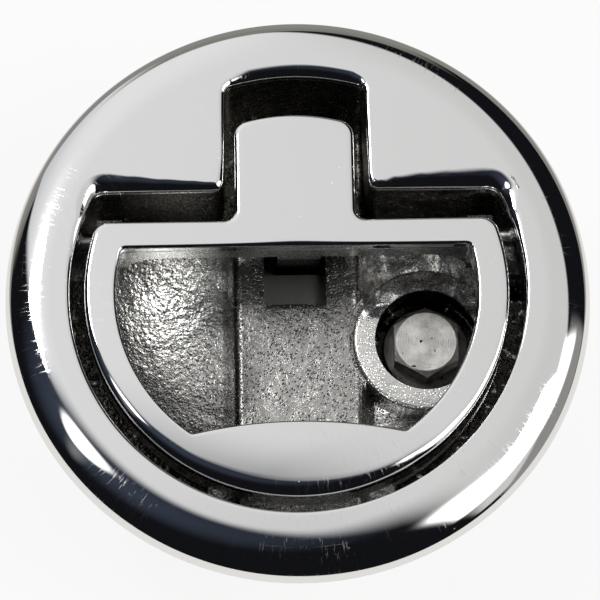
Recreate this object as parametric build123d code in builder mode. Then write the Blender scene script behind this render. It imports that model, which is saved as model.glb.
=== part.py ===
"""Round flush pull handle with a slam latch, for a hatch or locker door. Lengths in millimetres.

Frame: the origin is the flange's centre, in the plane of the panel's front face. +Z points out
of the panel towards the hand, +Y from the thumb tab towards the stem and the latch nose.
"""

import os
from math import atan2, cos, hypot, radians, sin, sqrt, tan

from build123d import *

os.makedirs("parts", exist_ok=True)

# ---- faceplate and barrel ----
barrel_r = 36.0  # passes the panel's 73 mm cut-out
barrel_depth = 15.0
wall = 2.3
recess_wall = 3.0  # of the barrel, round the recess
flange_lip = 6.5  # of the flange, past the barrel
face_z = 4.5  # polished face, above the panel
flange_back_z = 0.3  # metal rim behind the flange, just clear of the panel
rim_round_w = 4.3  # rounded outer rim: across
rim_round_h = 3.4  # and up
rim_land = 0.6  # short upright land below the rounding
crown = 0.2  # the face falls this much towards the rim
edge_break = 1.4  # polished rounding round the recess mouth

# ---- gasket ----
gasket_t = 1.0
gasket_inset = 1.5  # inside the flange's rim
gasket_gap = 0.2  # to the rim of its groove
gasket_inner_gap = 1.0  # to the barrel

# ---- pull handle ----
handle_gap = 2.1  # from the handle's rim to the recess wall
handle_t = 5.0
ring_w = 4.7
bar_low_y = 6.6
bar_high_y = 10.8
stem_half_w = 8.9
stem_end_gap = 5.9  # from the stem's bowed end to the recess wall
stem_corner_r = 2.6
stem_root_r = 1.5
bar_corner_r = 2.6
tab_w = 6.6  # thumb tab, inwards from the ring on the centre line
tab_corner_w = 4.9
window_corner_r = 0.8
handle_edge_r = 0.8
lift_deg = 38.0
handle_side = -0.2  # the handle lies this far to one side in its play

# ---- hinge ----
pin_y = 10.0
pin_z = -3.5
pin_r = 1.5
pin_play = 0.04  # running clearance in the ears
pin_press = 0.015  # clearance in the barrel wall, before staking
ear_inset = 1.9  # inside the handle's rim
ear_w = 3.6
ear_drop = 5.5  # from the pin's axis to the ear's foot
ear_back = 2.6  # past the pin's axis, towards the stem
gusset_w = 5.8
gusset_t = 1.8
ear_foot_r = 2.0
pin_recess = 0.3
pin_chamfer = 0.3

# ---- finger under the bar ----
finger_x = 0.6
finger_w = 6.4
finger_t = 3.2
hole_x = -0.2
hole_half_w = 4.6
hole_clear = 0.3
finger_reach = 14.5  # pin's axis to the centre of the rounded tip
finger_tip_r = 2.0
knuckle_r = 2.7  # boss round the pin

# ---- openings in the face ----
slot_half_w = 10.6  # at the bar's end
slot_top_half_w = 10.15  # at the recess wall
slot_corner_r = 1.5
arm_gap = 4.6  # above the bar
mouth_corner_r = 2.0

# ---- cup ----
ledge_z = -3.2
ledge_w = 2.3
bowl_z = -17.0
bowl_flat_r = 12.0
shell = 2.4
roof_z = -10.0
roof_half_w = 9.2
tunnel_half_w = 12.3
tunnel_round = 1.6
roof_t = 2.0
roof_end_y = 18.0
stop_clear = 0.3  # between the lowered stem and the pocket's floor
arm_floor_z = -9.6
arm_low_y = 4.2
arm_inner_x = 15.0
step_x0 = 17.5  # cast step in each arm pocket, inner end
step_x1 = 25.6
step_y = 13.0
step_z = -6.5
relief_len = 1.2
relief_depth = 0.4

# ---- mounting bolt, washer and boss ----
boss_x = 19.2
boss_y = -3.2
boss_r = 10.9
boss_rim_z = -11.0
boss_foot_z = -21.8
boss_foot_r = 9.0
boss_draft_deg = 3.0
boss_rim_r = 0.6
valley_w = 0.8
valley_z = -12.6
counterbore_r = 7.7
washer_r = 6.4
washer_t = 1.6
washer_seat_z = -17.7
bolt_r = 3.175
head_af = 9.5
head_h = 4.0
bolt_len = 16.0
bolt_hole_gap = 0.3
head_face_r = 4.5
head_turn = 30.0
bolt_point = 0.6
washer_round = 0.3

# ---- latch bolt ----
slide_half_w = 7.0
slide_h = 6.0
slide_gap = 0.25
slide_top_gap = 0.3
channel_top_z = -15.4  # beyond the tunnel
channel_rear_wall = 4.6
channel_step_y = 13.6
nose_ramp_len = 9.0
nose_tip_h = 1.8
slide_rear_y = -9.0
catch_w = 6.0
catch_gap = 0.45
catch_top_gap = 0.3
slam_room = 0.4
slot_floor = 1.0
finger_side_gap = 0.4
nose_corner_r = 1.2

# ---- bolt spring ----
spring_wire_r = 0.3
spring_mean_r = 2.55
spring_pitch = 2.45
spigot_gap = 0.35
spigot_len = 4.5
spring_seat_gap = 0.05

# ---- handle spring ----
coil_wire_r = 0.3
coil_mean_r = 2.15
coil_pitch = 0.7
coil_full_turns = 4
coil_x = 8.25
coil_leg = 8.6
coil_leg_rise_deg = 3.4  # the stem's leg
coil_leg_fall_deg = 30.0  # the leg on the tunnel's roof
coil_leg_gap = 0.05

# ---- back cover and screws ----
cover_t = 1.5
cover_half_w = 15.2
cover_inset = 1.0  # inside the barrel
cover_corner_r = 3.0
screw_x = 11.4
screw_y = 24.5
screw_post_r = 3.4
screw_post_top_z = -14.6
screw_r = 1.5
screw_gap = 0.05
screw_len = 7.0
screw_head_r = 2.7
screw_head_h = 1.7
screw_hex_af = 2.0
screw_hex_deep = 1.0
screw_head_round = 0.5
screw_clear = 0.2  # in the cover

# ---- mounting bracket ----
bracket_t = 2.5
bracket_half_y = 5.5
bracket_gap = 0.3
panel_t = 12.7
leg_gap = 1.0  # outside the barrel
foot_len = 1.7
bracket_bend_r = 1.6
bracket_bend_out_r = 3.1
thread_gap = 0.05
bead_w = 5.0
bead_h = 0.8
bead_len = 26.0
bead_start = 4.0
nut_barrel_r = 4.2
nut_press = 0.01
nut_recess = 0.2
nut_h = 3.0

# ---- back of the casting ----
box_inset = 0.8  # inside the barrel
tail_half_w = 13.5
tail_len = 9.0
tail_z = -13.0
rib_t = 2.0
rib_in_r = 20.0
rib_low_z = -13.5
rib_angles = (-150, -120, -60, -30, 150, 30)

# ---- helpers for joining and cutting ----
over = 1.0  # cutters pass a face by this much, and joined stock runs this far into its neighbour
near = 0.01  # a point this close to a line lies on it

# ---- worked out from the sizes above ----
flange_r = barrel_r + flange_lip
recess_r = barrel_r - recess_wall
gasket_r = flange_r - gasket_inset
box_r = barrel_r - box_inset
cover_r = barrel_r - cover_inset
channel_rear_y = channel_rear_wall - barrel_r
handle_r = recess_r - handle_gap
window_r = handle_r - ring_w
tab_edge_y = tab_w - window_r
tab_corner_y = tab_corner_w - window_r
stem_top_y = recess_r - stem_end_gap
ear_outer_x = handle_r - ear_inset
ear_inner_x = ear_outer_x - ear_w
gusset_x = ear_inner_x - gusset_w
leg_in_x = barrel_r + leg_gap
leg_out_x = leg_in_x + bracket_t
foot_x = leg_out_x + foot_len
handle_back_z = face_z - handle_t
island_y = bar_high_y + arm_gap
lift = radians(lift_deg)
stem_back = hypot(stem_top_y - pin_y, handle_back_z - pin_z)
stem_rest = atan2(handle_back_z - pin_z, stem_top_y - pin_y)
pocket_z = pin_z - stem_back * sin(lift - stem_rest) - stop_clear
slide_top_z = channel_top_z - slide_top_gap
slide_low_z = slide_top_z - slide_h
cover_top_z = slide_low_z - slide_gap
cover_low_z = cover_top_z - cover_t
tunnel_top_z = roof_z - roof_t
catch_top_z = tunnel_top_z - catch_top_gap
travel = finger_reach * sin(lift)
nose_tip_y = sqrt(barrel_r**2 - slide_half_w**2) + travel  # drawn back, it clears the cut-out
catch_y = pin_y - finger_tip_r - catch_gap
slot_end_y = pin_y + finger_tip_r + travel + slam_room
channel_half_w = slide_half_w + slide_gap
slide_mid_z = (slide_top_z + slide_low_z) / 2
bowl_r = recess_r - ledge_w
skin = recess_r + wall / 2  # where inner walls run into the barrel


def hole_front_y(z):
    """Front wall of the finger's hole at height z: a little ahead of the lifted finger's face."""
    return pin_y - (pin_z - z) * tan(lift) - finger_t / 2 / cos(lift) - hole_clear


def mouth():
    """The opening in the face: a T-slot between the two cover islands, and the round recess."""
    with BuildSketch() as sketch:
        Circle(recess_r)
        for side in (-1, 1):
            with BuildSketch(mode=Mode.PRIVATE) as island:
                with BuildLine():
                    Polyline(
                        (side * slot_half_w, island_y),
                        (side * slot_top_half_w, recess_r),
                        (side * recess_r, recess_r),
                        (side * recess_r, island_y),
                        close=True,
                    )
                make_face()
            add(island.sketch, mode=Mode.SUBTRACT)
        outer = sketch.vertices().filter_by(lambda v: v.Y > 0 and abs(v.X) > (slot_half_w + recess_r) / 2)
        fillet(outer, mouth_corner_r)
        inner = sketch.vertices().filter_by(lambda v: v.Y > 0 and abs(v.X) < slot_half_w + near)
        fillet(inner, slot_corner_r)
    return sketch.sketch


def tunnel_section():
    """Half-round-shouldered trapezium across the tunnel, in X and Z."""
    with BuildSketch(Plane.XZ) as sketch:
        with BuildLine():
            Polyline(
                (-tunnel_half_w, bowl_z - shell),
                (-roof_half_w, roof_z),
                (roof_half_w, roof_z),
                (tunnel_half_w, bowl_z - shell),
                close=True,
            )
        make_face()
        fillet(sketch.vertices().group_by(Axis.Y)[-1], tunnel_round)
    return sketch.sketch


# ---- tools that shape the housing ----
with BuildPart() as tunnel:
    add(tunnel_section())
    extrude(amount=roof_end_y, dir=(0, 1, 0))
    add(tunnel_section())
    extrude(amount=skin, dir=(0, -1, 0))
    with BuildSketch(Plane.XY.offset(valley_z)):
        with Locations((boss_x, boss_y)):
            Circle(boss_r + valley_w)
    extrude(amount=roof_z - valley_z + over, mode=Mode.SUBTRACT)

with BuildPart() as boss:
    with BuildSketch(Plane.XY.offset(boss_rim_z)):
        with Locations((boss_x, boss_y)):
            Circle(boss_r)
    extrude(amount=bowl_z - boss_rim_z - shell, taper=-boss_draft_deg)
    fillet(boss.edges().group_by(Axis.Z)[-1], boss_rim_r)

with BuildPart() as bowl:
    with BuildSketch(Plane.XZ):
        with BuildLine():
            Line((0, ledge_z), (bowl_r, ledge_z))
            EllipticalCenterArc(
                (bowl_flat_r, ledge_z),
                bowl_r - bowl_flat_r,
                ledge_z - bowl_z,
                start_angle=270,
                arc_size=90,
            )
            Line((bowl_flat_r, bowl_z), (0, bowl_z))
            Line((0, bowl_z), (0, ledge_z))
        make_face()
    revolve(axis=Axis.Z)
    with BuildSketch(Plane.XY.offset(bowl_z - over)):
        with Locations((0, island_y + recess_r)):
            Rectangle(4 * recess_r, 2 * recess_r)
    extrude(amount=ledge_z - bowl_z + 2 * over, mode=Mode.SUBTRACT)
    add(tunnel.part, mode=Mode.SUBTRACT)
    add(boss.part, mode=Mode.SUBTRACT)

with BuildPart() as arm_pockets:
    with BuildSketch(Plane.XY.offset(arm_floor_z)):
        Circle(recess_r)
        with Locations((0, (arm_low_y + island_y) / 2)):
            Rectangle(4 * recess_r, island_y - arm_low_y, mode=Mode.INTERSECT)
        Rectangle(2 * arm_inner_x, 4 * recess_r, mode=Mode.SUBTRACT)
    extrude(amount=ledge_z - arm_floor_z)
    with BuildSketch(Plane.XY.offset(arm_floor_z)):
        for side in (-1, 1):
            with Locations((side * (step_x0 + step_x1) / 2, (step_y + island_y) / 2 + over)):
                Rectangle(step_x1 - step_x0, island_y - step_y + 2 * over)
    extrude(amount=step_z - arm_floor_z, mode=Mode.SUBTRACT)

with BuildPart() as stem_pocket:
    add(mouth())
    extrude(amount=pocket_z)
    with BuildSketch(Plane.XY.offset(pocket_z - over)):
        with Locations((0, island_y - recess_r)):
            Rectangle(4 * recess_r, 2 * recess_r)
    extrude(amount=2 * over - pocket_z, mode=Mode.SUBTRACT)
    with BuildSketch(Plane.XY.offset(pocket_z - over)):
        with Locations((0, roof_end_y - recess_r)):
            Rectangle(4 * recess_r, 2 * recess_r)
    extrude(amount=roof_z - pocket_z + over, mode=Mode.SUBTRACT)

# Hollows cast into the back: round the bowl, and behind each cover island.
with BuildPart() as back_cores:
    with BuildSketch(Plane.XZ):
        with BuildLine():
            EllipticalCenterArc(
                (bowl_flat_r, ledge_z),
                bowl_r - bowl_flat_r + shell,
                ledge_z - bowl_z + shell,
                start_angle=270,
                arc_size=90,
            )
            Line((bowl_r + shell, ledge_z), (bowl_r + shell, cover_low_z))
            Line((bowl_r + shell, cover_low_z), (bowl_flat_r, cover_low_z))
            Line((bowl_flat_r, cover_low_z), (bowl_flat_r, bowl_z - shell))
        make_face()
    revolve(axis=Axis.Z)
    with BuildSketch(Plane.XY.offset(cover_low_z)):
        Circle(recess_r)
    extrude(amount=ledge_z - shell - cover_low_z, mode=Mode.INTERSECT)

with BuildPart() as island_cores:
    with BuildSketch(Plane.XY.offset(cover_low_z)):
        Circle(recess_r)
        with Locations((0, island_y + wall - recess_r)):
            Rectangle(4 * recess_r, 2 * recess_r, mode=Mode.SUBTRACT)
        Rectangle(2 * (slot_half_w + wall), 4 * recess_r, mode=Mode.SUBTRACT)
    extrude(amount=face_z - wall - cover_low_z)

with BuildPart() as tail_pockets:
    with BuildSketch(Plane.XY.offset(tail_z)):
        Circle(recess_r)
        with Locations((0, -recess_r)):
            Rectangle(2 * tail_half_w, 2 * tail_len, mode=Mode.INTERSECT)
    extrude(amount=ledge_z - tail_z)
    add(tunnel.part, mode=Mode.SUBTRACT)


# ---- housing: one casting ----
with BuildPart() as housing:
    with BuildSketch(Plane.XZ):
        with BuildLine():
            Polyline(
                (0, face_z),
                (recess_r, face_z),
                (flange_r - rim_round_w, face_z - crown),
            )
            EllipticalCenterArc(
                (flange_r - rim_round_w, flange_back_z + rim_land),
                rim_round_w,
                face_z - crown - flange_back_z - rim_land,
                start_angle=90,
                arc_size=-90,
            )
            Polyline(
                (flange_r, flange_back_z + rim_land),
                (flange_r, flange_back_z),
                (gasket_r + gasket_gap, flange_back_z),
                (gasket_r + gasket_gap, gasket_t),
                (barrel_r, gasket_t),
                (barrel_r, -barrel_depth),
                (0, -barrel_depth),
                (0, face_z),
            )
        make_face()
    revolve(axis=Axis.Z)
    with BuildSketch(Plane.XZ):
        with BuildLine():
            Line((0, ledge_z), (bowl_r + shell, ledge_z))
            EllipticalCenterArc(
                (bowl_flat_r, ledge_z),
                bowl_r - bowl_flat_r + shell,
                ledge_z - bowl_z + shell,
                start_angle=0,
                arc_size=-90,
            )
            Line((bowl_flat_r, bowl_z - shell), (0, bowl_z - shell))
            Line((0, bowl_z - shell), (0, ledge_z))
        make_face()
    revolve(axis=Axis.Z)
    add(back_cores.part, mode=Mode.SUBTRACT)
    add(island_cores.part, mode=Mode.SUBTRACT)

    # walls round the stem pocket
    with BuildSketch(Plane.XY.offset(pocket_z - wall)):
        Circle(skin)
        with Locations((0, channel_step_y + recess_r)):
            Rectangle(2 * (slot_half_w + wall), 2 * recess_r, mode=Mode.INTERSECT)
    extrude(amount=face_z - pocket_z)
    # walls round the arm pockets, and the wall under the islands' edge
    with BuildSketch(Plane.XY.offset(arm_floor_z - wall)):
        Circle(skin)
        with Locations((0, (arm_low_y + island_y) / 2)):
            Rectangle(4 * recess_r, island_y - arm_low_y + 2 * wall, mode=Mode.INTERSECT)
    extrude(amount=ledge_z - arm_floor_z + wall)
    with BuildSketch(Plane.XY.offset(ledge_z)):
        Circle(skin)
        with Locations((0, island_y + wall / 2)):
            Rectangle(4 * recess_r, wall, mode=Mode.INTERSECT)
    extrude(amount=face_z - wall - ledge_z)
    # walls round the tail pockets
    with BuildSketch(Plane.XY.offset(tail_z - wall)):
        Circle(skin)
        with Locations((0, -recess_r)):
            Rectangle(2 * (tail_half_w + wall), 2 * (tail_len + wall), mode=Mode.INTERSECT)
    extrude(amount=ledge_z - tail_z + wall)
    # bolt channel, screw posts and the mounting bolt's column
    with BuildSketch(Plane.XY.offset(cover_top_z)):
        Circle(box_r)
        Rectangle(2 * tunnel_half_w, 4 * recess_r, mode=Mode.INTERSECT)
    extrude(amount=bowl_z - cover_top_z + wall)
    with BuildSketch(Plane.XY.offset(cover_top_z)):
        with GridLocations(2 * screw_x, 2 * screw_y, 2, 2):
            Circle(screw_post_r)
    extrude(amount=screw_post_top_z - cover_top_z)
    with BuildSketch(Plane.XY.offset(boss_foot_z)):
        with Locations((boss_x, boss_y)):
            Circle(boss_foot_r)
    extrude(amount=bowl_z - boss_foot_z)
    # stiffening ribs across the hollow round the bowl
    with BuildSketch(Plane.XY.offset(rib_low_z)):
        for angle in rib_angles:
            with BuildSketch(mode=Mode.PRIVATE) as rib:
                with PolarLocations((recess_r + rib_in_r) / 2, 1, start_angle=angle):
                    Rectangle(recess_r - rib_in_r + wall, rib_t)
            add(rib.sketch)
    extrude(amount=ledge_z - shell / 2 - rib_low_z)

    # the mouth, the bowl and the pockets
    add(mouth())
    extrude(amount=face_z + over, mode=Mode.SUBTRACT)
    add(mouth())
    extrude(amount=ledge_z, mode=Mode.SUBTRACT)
    add(bowl.part, mode=Mode.SUBTRACT)
    add(arm_pockets.part, mode=Mode.SUBTRACT)
    add(stem_pocket.part, mode=Mode.SUBTRACT)
    add(tail_pockets.part, mode=Mode.SUBTRACT)

    # bolt channel, high inside the tunnel and low under the stem pocket
    with BuildSketch(Plane.XY.offset(cover_top_z)):
        with Locations((0, (channel_rear_y + channel_step_y) / 2)):
            Rectangle(2 * channel_half_w, channel_step_y - channel_rear_y)
    extrude(amount=tunnel_top_z - cover_top_z, mode=Mode.SUBTRACT)
    with BuildSketch(Plane.XY.offset(cover_top_z)):
        with Locations((0, channel_step_y + recess_r)):
            Rectangle(2 * channel_half_w, 2 * recess_r)
    extrude(amount=channel_top_z - cover_top_z, mode=Mode.SUBTRACT)
    # hole for the finger, raked to follow it, with a shallow relief in front
    with BuildSketch(Plane.YZ.offset(hole_x - hole_half_w)):
        with BuildLine():
            Polyline(
                (hole_front_y(roof_z), roof_z),
                (hole_front_y(tunnel_top_z), tunnel_top_z),
                (channel_step_y, tunnel_top_z),
                (channel_step_y, roof_z),
                close=True,
            )
        make_face()
    extrude(amount=2 * hole_half_w, mode=Mode.SUBTRACT)
    with BuildSketch(Plane.YZ.offset(hole_x - hole_half_w)):
        with BuildLine():
            Polyline(
                (hole_front_y(roof_z) - relief_len, roof_z),
                (hole_front_y(roof_z) + relief_len, roof_z - 2 * relief_depth),
                (hole_front_y(roof_z) + relief_len, roof_z),
                close=True,
            )
        make_face()
    extrude(amount=2 * hole_half_w, mode=Mode.SUBTRACT)
    # counterbore and clearance hole for the mounting bolt
    with BuildSketch(Plane.XY.offset(washer_seat_z)):
        with Locations((boss_x, boss_y)):
            Circle(counterbore_r)
    extrude(amount=ledge_z - washer_seat_z, mode=Mode.SUBTRACT)
    with BuildSketch(Plane.XY.offset(boss_foot_z)):
        with Locations((boss_x, boss_y)):
            Circle(bolt_r + bolt_hole_gap)
    extrude(amount=washer_seat_z - boss_foot_z, mode=Mode.SUBTRACT)
    # hinge pin bore through both sides of the barrel
    with BuildSketch(Plane.YZ.offset(-barrel_r)):
        with Locations((pin_y, pin_z)):
            Circle(pin_r + pin_press)
    extrude(amount=2 * barrel_r, mode=Mode.SUBTRACT)
    # tapped holes in the screw posts
    with BuildSketch(Plane.XY.offset(cover_top_z)):
        with GridLocations(2 * screw_x, 2 * screw_y, 2, 2):
            Circle(screw_r + screw_gap)
    extrude(amount=screw_len - cover_t + over, mode=Mode.SUBTRACT)
    # polished break all round the mouth
    mouth_edges = housing.edges().filter_by(
        lambda e: abs(e.bounding_box().min.Z - face_z) < near
        and abs(e.bounding_box().max.Z - face_z) < near
    )
    fillet(mouth_edges, edge_break)
housing.part.label = "housing"
export_step(housing.part, "parts/housing.step")

# ---- pull handle: ring, bar, stem, ears and finger in one casting ----
tab_corner_x = sqrt(window_r**2 - tab_corner_y**2)
with BuildPart() as handle:
    with BuildSketch(Plane.XY.offset(handle_back_z)) as outline:
        Circle(handle_r)
        with Locations((0, bar_high_y - handle_r)):
            Rectangle(2 * handle_r, 2 * handle_r, mode=Mode.INTERSECT)
        fillet(outline.vertices().group_by(Axis.Y)[-1], bar_corner_r)
        with BuildSketch(mode=Mode.PRIVATE) as stem:
            Circle(stem_top_y)
            with Locations((0, (stem_top_y + pin_y) / 2)):
                Rectangle(2 * stem_half_w, stem_top_y - pin_y, mode=Mode.INTERSECT)
        add(stem.sketch)
        fillet(outline.vertices().group_by(Axis.Y)[-1], stem_corner_r)
        fillet(
            outline.vertices().filter_by(
                lambda v: abs(v.Y - bar_high_y) < near and abs(abs(v.X) - stem_half_w) < near
            ),
            stem_root_r,
        )
    extrude(amount=handle_t)
    with BuildSketch(Plane.XY.offset(handle_back_z)) as window:
        with BuildLine():
            upper_x = sqrt(window_r**2 - bar_low_y**2)
            Line((-upper_x, bar_low_y), (upper_x, bar_low_y))
            ThreePointArc((upper_x, bar_low_y), (window_r, 0), (tab_corner_x, tab_corner_y))
            ThreePointArc(
                (tab_corner_x, tab_corner_y), (0, tab_edge_y), (-tab_corner_x, tab_corner_y)
            )
            ThreePointArc((-tab_corner_x, tab_corner_y), (-window_r, 0), (-upper_x, bar_low_y))
        make_face()
        fillet(window.vertices(), window_corner_r)
    extrude(amount=handle_t, mode=Mode.SUBTRACT)
    face_edges = handle.edges().filter_by(
        lambda e: abs(e.bounding_box().min.Z - face_z) < near
        and abs(e.bounding_box().max.Z - face_z) < near
    )
    fillet(face_edges, handle_edge_r)

    # ears under the bar's ends, with a gusset that sweeps up into the bar
    for side in (-1, 1):
        with BuildSketch(Plane.YZ.offset(side * ear_inner_x)) as ear:
            with BuildLine():
                Polyline(
                    (bar_low_y, handle_back_z + over),
                    (bar_low_y, pin_z - ear_drop),
                    (pin_y + ear_back, pin_z - ear_drop),
                    (pin_y + ear_back, handle_back_z),
                    (bar_high_y - over, handle_back_z + over),
                    close=True,
                )
            make_face()
            fillet(ear.vertices().group_by(Axis.Y)[0], ear_foot_r)
        extrude(amount=side * (ear_outer_x - ear_inner_x))
        with BuildSketch(Plane.XZ.offset(-bar_low_y)):
            with BuildLine():
                Line((side * gusset_x, handle_back_z + over), (side * gusset_x, handle_back_z))
                EllipticalCenterArc(
                    (side * gusset_x, pin_z - ear_drop + ear_foot_r),
                    ear_inner_x - gusset_x,
                    handle_back_z - pin_z + ear_drop - ear_foot_r,
                    start_angle=90,
                    arc_size=-side * 90,
                )
                Line(
                    (side * ear_inner_x, pin_z - ear_drop + ear_foot_r),
                    (side * (ear_inner_x + over), pin_z - ear_drop + ear_foot_r),
                )
                Line(
                    (side * (ear_inner_x + over), pin_z - ear_drop + ear_foot_r),
                    (side * (ear_inner_x + over), handle_back_z + over),
                )
                Line(
                    (side * (ear_inner_x + over), handle_back_z + over),
                    (side * gusset_x, handle_back_z + over),
                )
            make_face()
        extrude(amount=-gusset_t)
    with BuildSketch(Plane.YZ.offset(-handle_r)):
        with Locations((pin_y, pin_z)):
            Circle(pin_r + pin_play)
    extrude(amount=2 * handle_r, mode=Mode.SUBTRACT)

    # finger: a flat blade with a rounded tip, bossed round the pin
    with BuildSketch(Plane.YZ.offset(finger_x - finger_w / 2)) as blade:
        with Locations((pin_y, (handle_back_z + over + pin_z - finger_reach) / 2)):
            Rectangle(finger_t, handle_back_z + over - pin_z + finger_reach)
        with Locations((pin_y, pin_z - finger_reach)):
            Circle(finger_tip_r)
        with Locations((pin_y, pin_z)):
            Circle(knuckle_r)
        with Locations((pin_y, pin_z)):
            Circle(pin_r + pin_play, mode=Mode.SUBTRACT)
    extrude(amount=finger_w)
pull_handle = handle.part.moved(Location((handle_side, 0, 0)))
pull_handle.label = "pull_handle"
export_step(pull_handle, "parts/pull_handle.step")

# ---- hinge pin ----
pin_half_len = sqrt(barrel_r**2 - (pin_y + pin_r) ** 2) - pin_recess
with BuildPart() as pin:
    with BuildSketch(Plane.YZ.offset(-pin_half_len)):
        with Locations((pin_y, pin_z)):
            Circle(pin_r)
    extrude(amount=2 * pin_half_len)
    chamfer(pin.edges().filter_by(GeomType.CIRCLE), pin_chamfer)
pin.part.label = "hinge_pin"
export_step(pin.part, "parts/hinge_pin.step")

# ---- handle spring: coils on the pin, one leg under the stem, one on the tunnel's roof ----
coil_start_deg = 90 + coil_leg_rise_deg
coil_end_deg = 270 - coil_leg_fall_deg
coil_turns = coil_full_turns + (coil_end_deg - coil_start_deg) / 360
coil_start_x = (0, cos(radians(coil_start_deg)), sin(radians(coil_start_deg)))
coil_plane = Plane(origin=(coil_x, pin_y, pin_z), x_dir=coil_start_x, z_dir=(-1, 0, 0))
turns = coil_plane * Helix(coil_pitch, coil_pitch * coil_turns, coil_mean_r, lefthand=True)
with BuildPart() as coil:
    with BuildSketch(Plane(origin=turns @ 0, z_dir=turns % 0)):
        Circle(coil_wire_r)
    sweep(path=turns, is_frenet=True)
    for end, out in ((0, -1), (1, 1)):
        with BuildSketch(Plane(origin=turns @ end, z_dir=out * (turns % end))):
            Circle(coil_wire_r)
        extrude(amount=coil_leg)
coil.part.label = "handle_spring"
export_step(coil.part, "parts/handle_spring.step")

# ---- latch bolt ----
with BuildPart() as slide:
    with BuildSketch(Plane.XY.offset(slide_low_z)) as plan:
        with Locations((0, (slide_rear_y + nose_tip_y) / 2)):
            Rectangle(2 * slide_half_w, nose_tip_y - slide_rear_y)
        fillet(plan.vertices(), nose_corner_r)
    extrude(amount=slide_h)
    with BuildSketch(Plane.XY.offset(slide_top_z)):
        with Locations((0, catch_y - catch_w / 2)):
            Rectangle(2 * slide_half_w, catch_w)
    extrude(amount=catch_top_z - slide_top_z)
    # slot for the finger, long enough for the bolt to be slammed in without the handle
    with BuildSketch(Plane.XY.offset(slide_low_z + slot_floor)):
        with Locations((finger_x + handle_side, (catch_y + slot_end_y) / 2)):
            Rectangle(finger_w + 2 * finger_side_gap, slot_end_y - catch_y)
    extrude(amount=slide_h, mode=Mode.SUBTRACT)
    # ramp on the back of the nose
    with BuildSketch(Plane.YZ.offset(-slide_half_w)):
        with BuildLine():
            Polyline(
                (nose_tip_y - nose_ramp_len, slide_low_z),
                (nose_tip_y, slide_top_z - nose_tip_h),
                (nose_tip_y, slide_low_z),
                close=True,
            )
        make_face()
    extrude(amount=2 * slide_half_w, mode=Mode.SUBTRACT)
    # spigot that centres the spring
    with BuildSketch(Plane.XZ.offset(-slide_rear_y)):
        with Locations((0, slide_mid_z)):
            Circle(spring_mean_r - spring_wire_r - spigot_gap)
    extrude(amount=spigot_len)
slide.part.label = "latch_bolt"
export_step(slide.part, "parts/latch_bolt.step")

# ---- bolt spring, its end coils ground flat on their seats ----
spring_front_y = slide_rear_y - spring_seat_gap
spring_back_y = channel_rear_y + spring_seat_gap
spring_plane = Plane(origin=(0, spring_front_y, slide_mid_z), z_dir=(0, -1, 0))
wire = spring_plane * Helix(spring_pitch, spring_front_y - spring_back_y, spring_mean_r)
with BuildPart() as spring:
    with BuildSketch(Plane(origin=wire @ 0, z_dir=wire % 0)):
        Circle(spring_wire_r)
    sweep(path=wire, is_frenet=True)
    with BuildSketch(Plane.XZ.offset(-spring_front_y)):
        with Locations((0, slide_mid_z)):
            Circle(2 * spring_mean_r)
    extrude(amount=spring_front_y - spring_back_y, mode=Mode.INTERSECT)
spring.part.label = "bolt_spring"
export_step(spring.part, "parts/bolt_spring.step")

# ---- back cover ----
with BuildPart() as cover:
    with BuildSketch(Plane.XY.offset(cover_low_z)) as plate:
        Circle(cover_r)
        Rectangle(2 * cover_half_w, 4 * cover_r, mode=Mode.INTERSECT)
        fillet(plate.vertices(), cover_corner_r)
        with GridLocations(2 * screw_x, 2 * screw_y, 2, 2):
            Circle(screw_r + screw_clear, mode=Mode.SUBTRACT)
    extrude(amount=cover_t)
cover.part.label = "back_cover"
export_step(cover.part, "parts/back_cover.step")

# ---- cover screws ----
screw_places = [(sx * screw_x, sy * screw_y) for sy in (1, -1) for sx in (-1, 1)]
for number, (sx, sy) in enumerate(screw_places, 1):
    with BuildPart() as screw:
        with BuildSketch(Plane.XY.offset(cover_low_z)):
            with Locations((sx, sy)):
                Circle(screw_r)
        extrude(amount=screw_len)
        with BuildSketch(Plane.XY.offset(cover_low_z - screw_head_h)):
            with Locations((sx, sy)):
                Circle(screw_head_r)
        extrude(amount=screw_head_h)
        fillet(screw.edges().group_by(Axis.Z)[0], screw_head_round)
        with BuildSketch(Plane.XY.offset(cover_low_z - screw_head_h)):
            with Locations((sx, sy)):
                RegularPolygon(screw_hex_af / 2, 6, major_radius=False)
        extrude(amount=screw_hex_deep, mode=Mode.SUBTRACT)
    screw.part.label = f"cover_screw_{number}"
    export_step(screw.part, f"parts/cover_screw_{number}.step")

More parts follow.
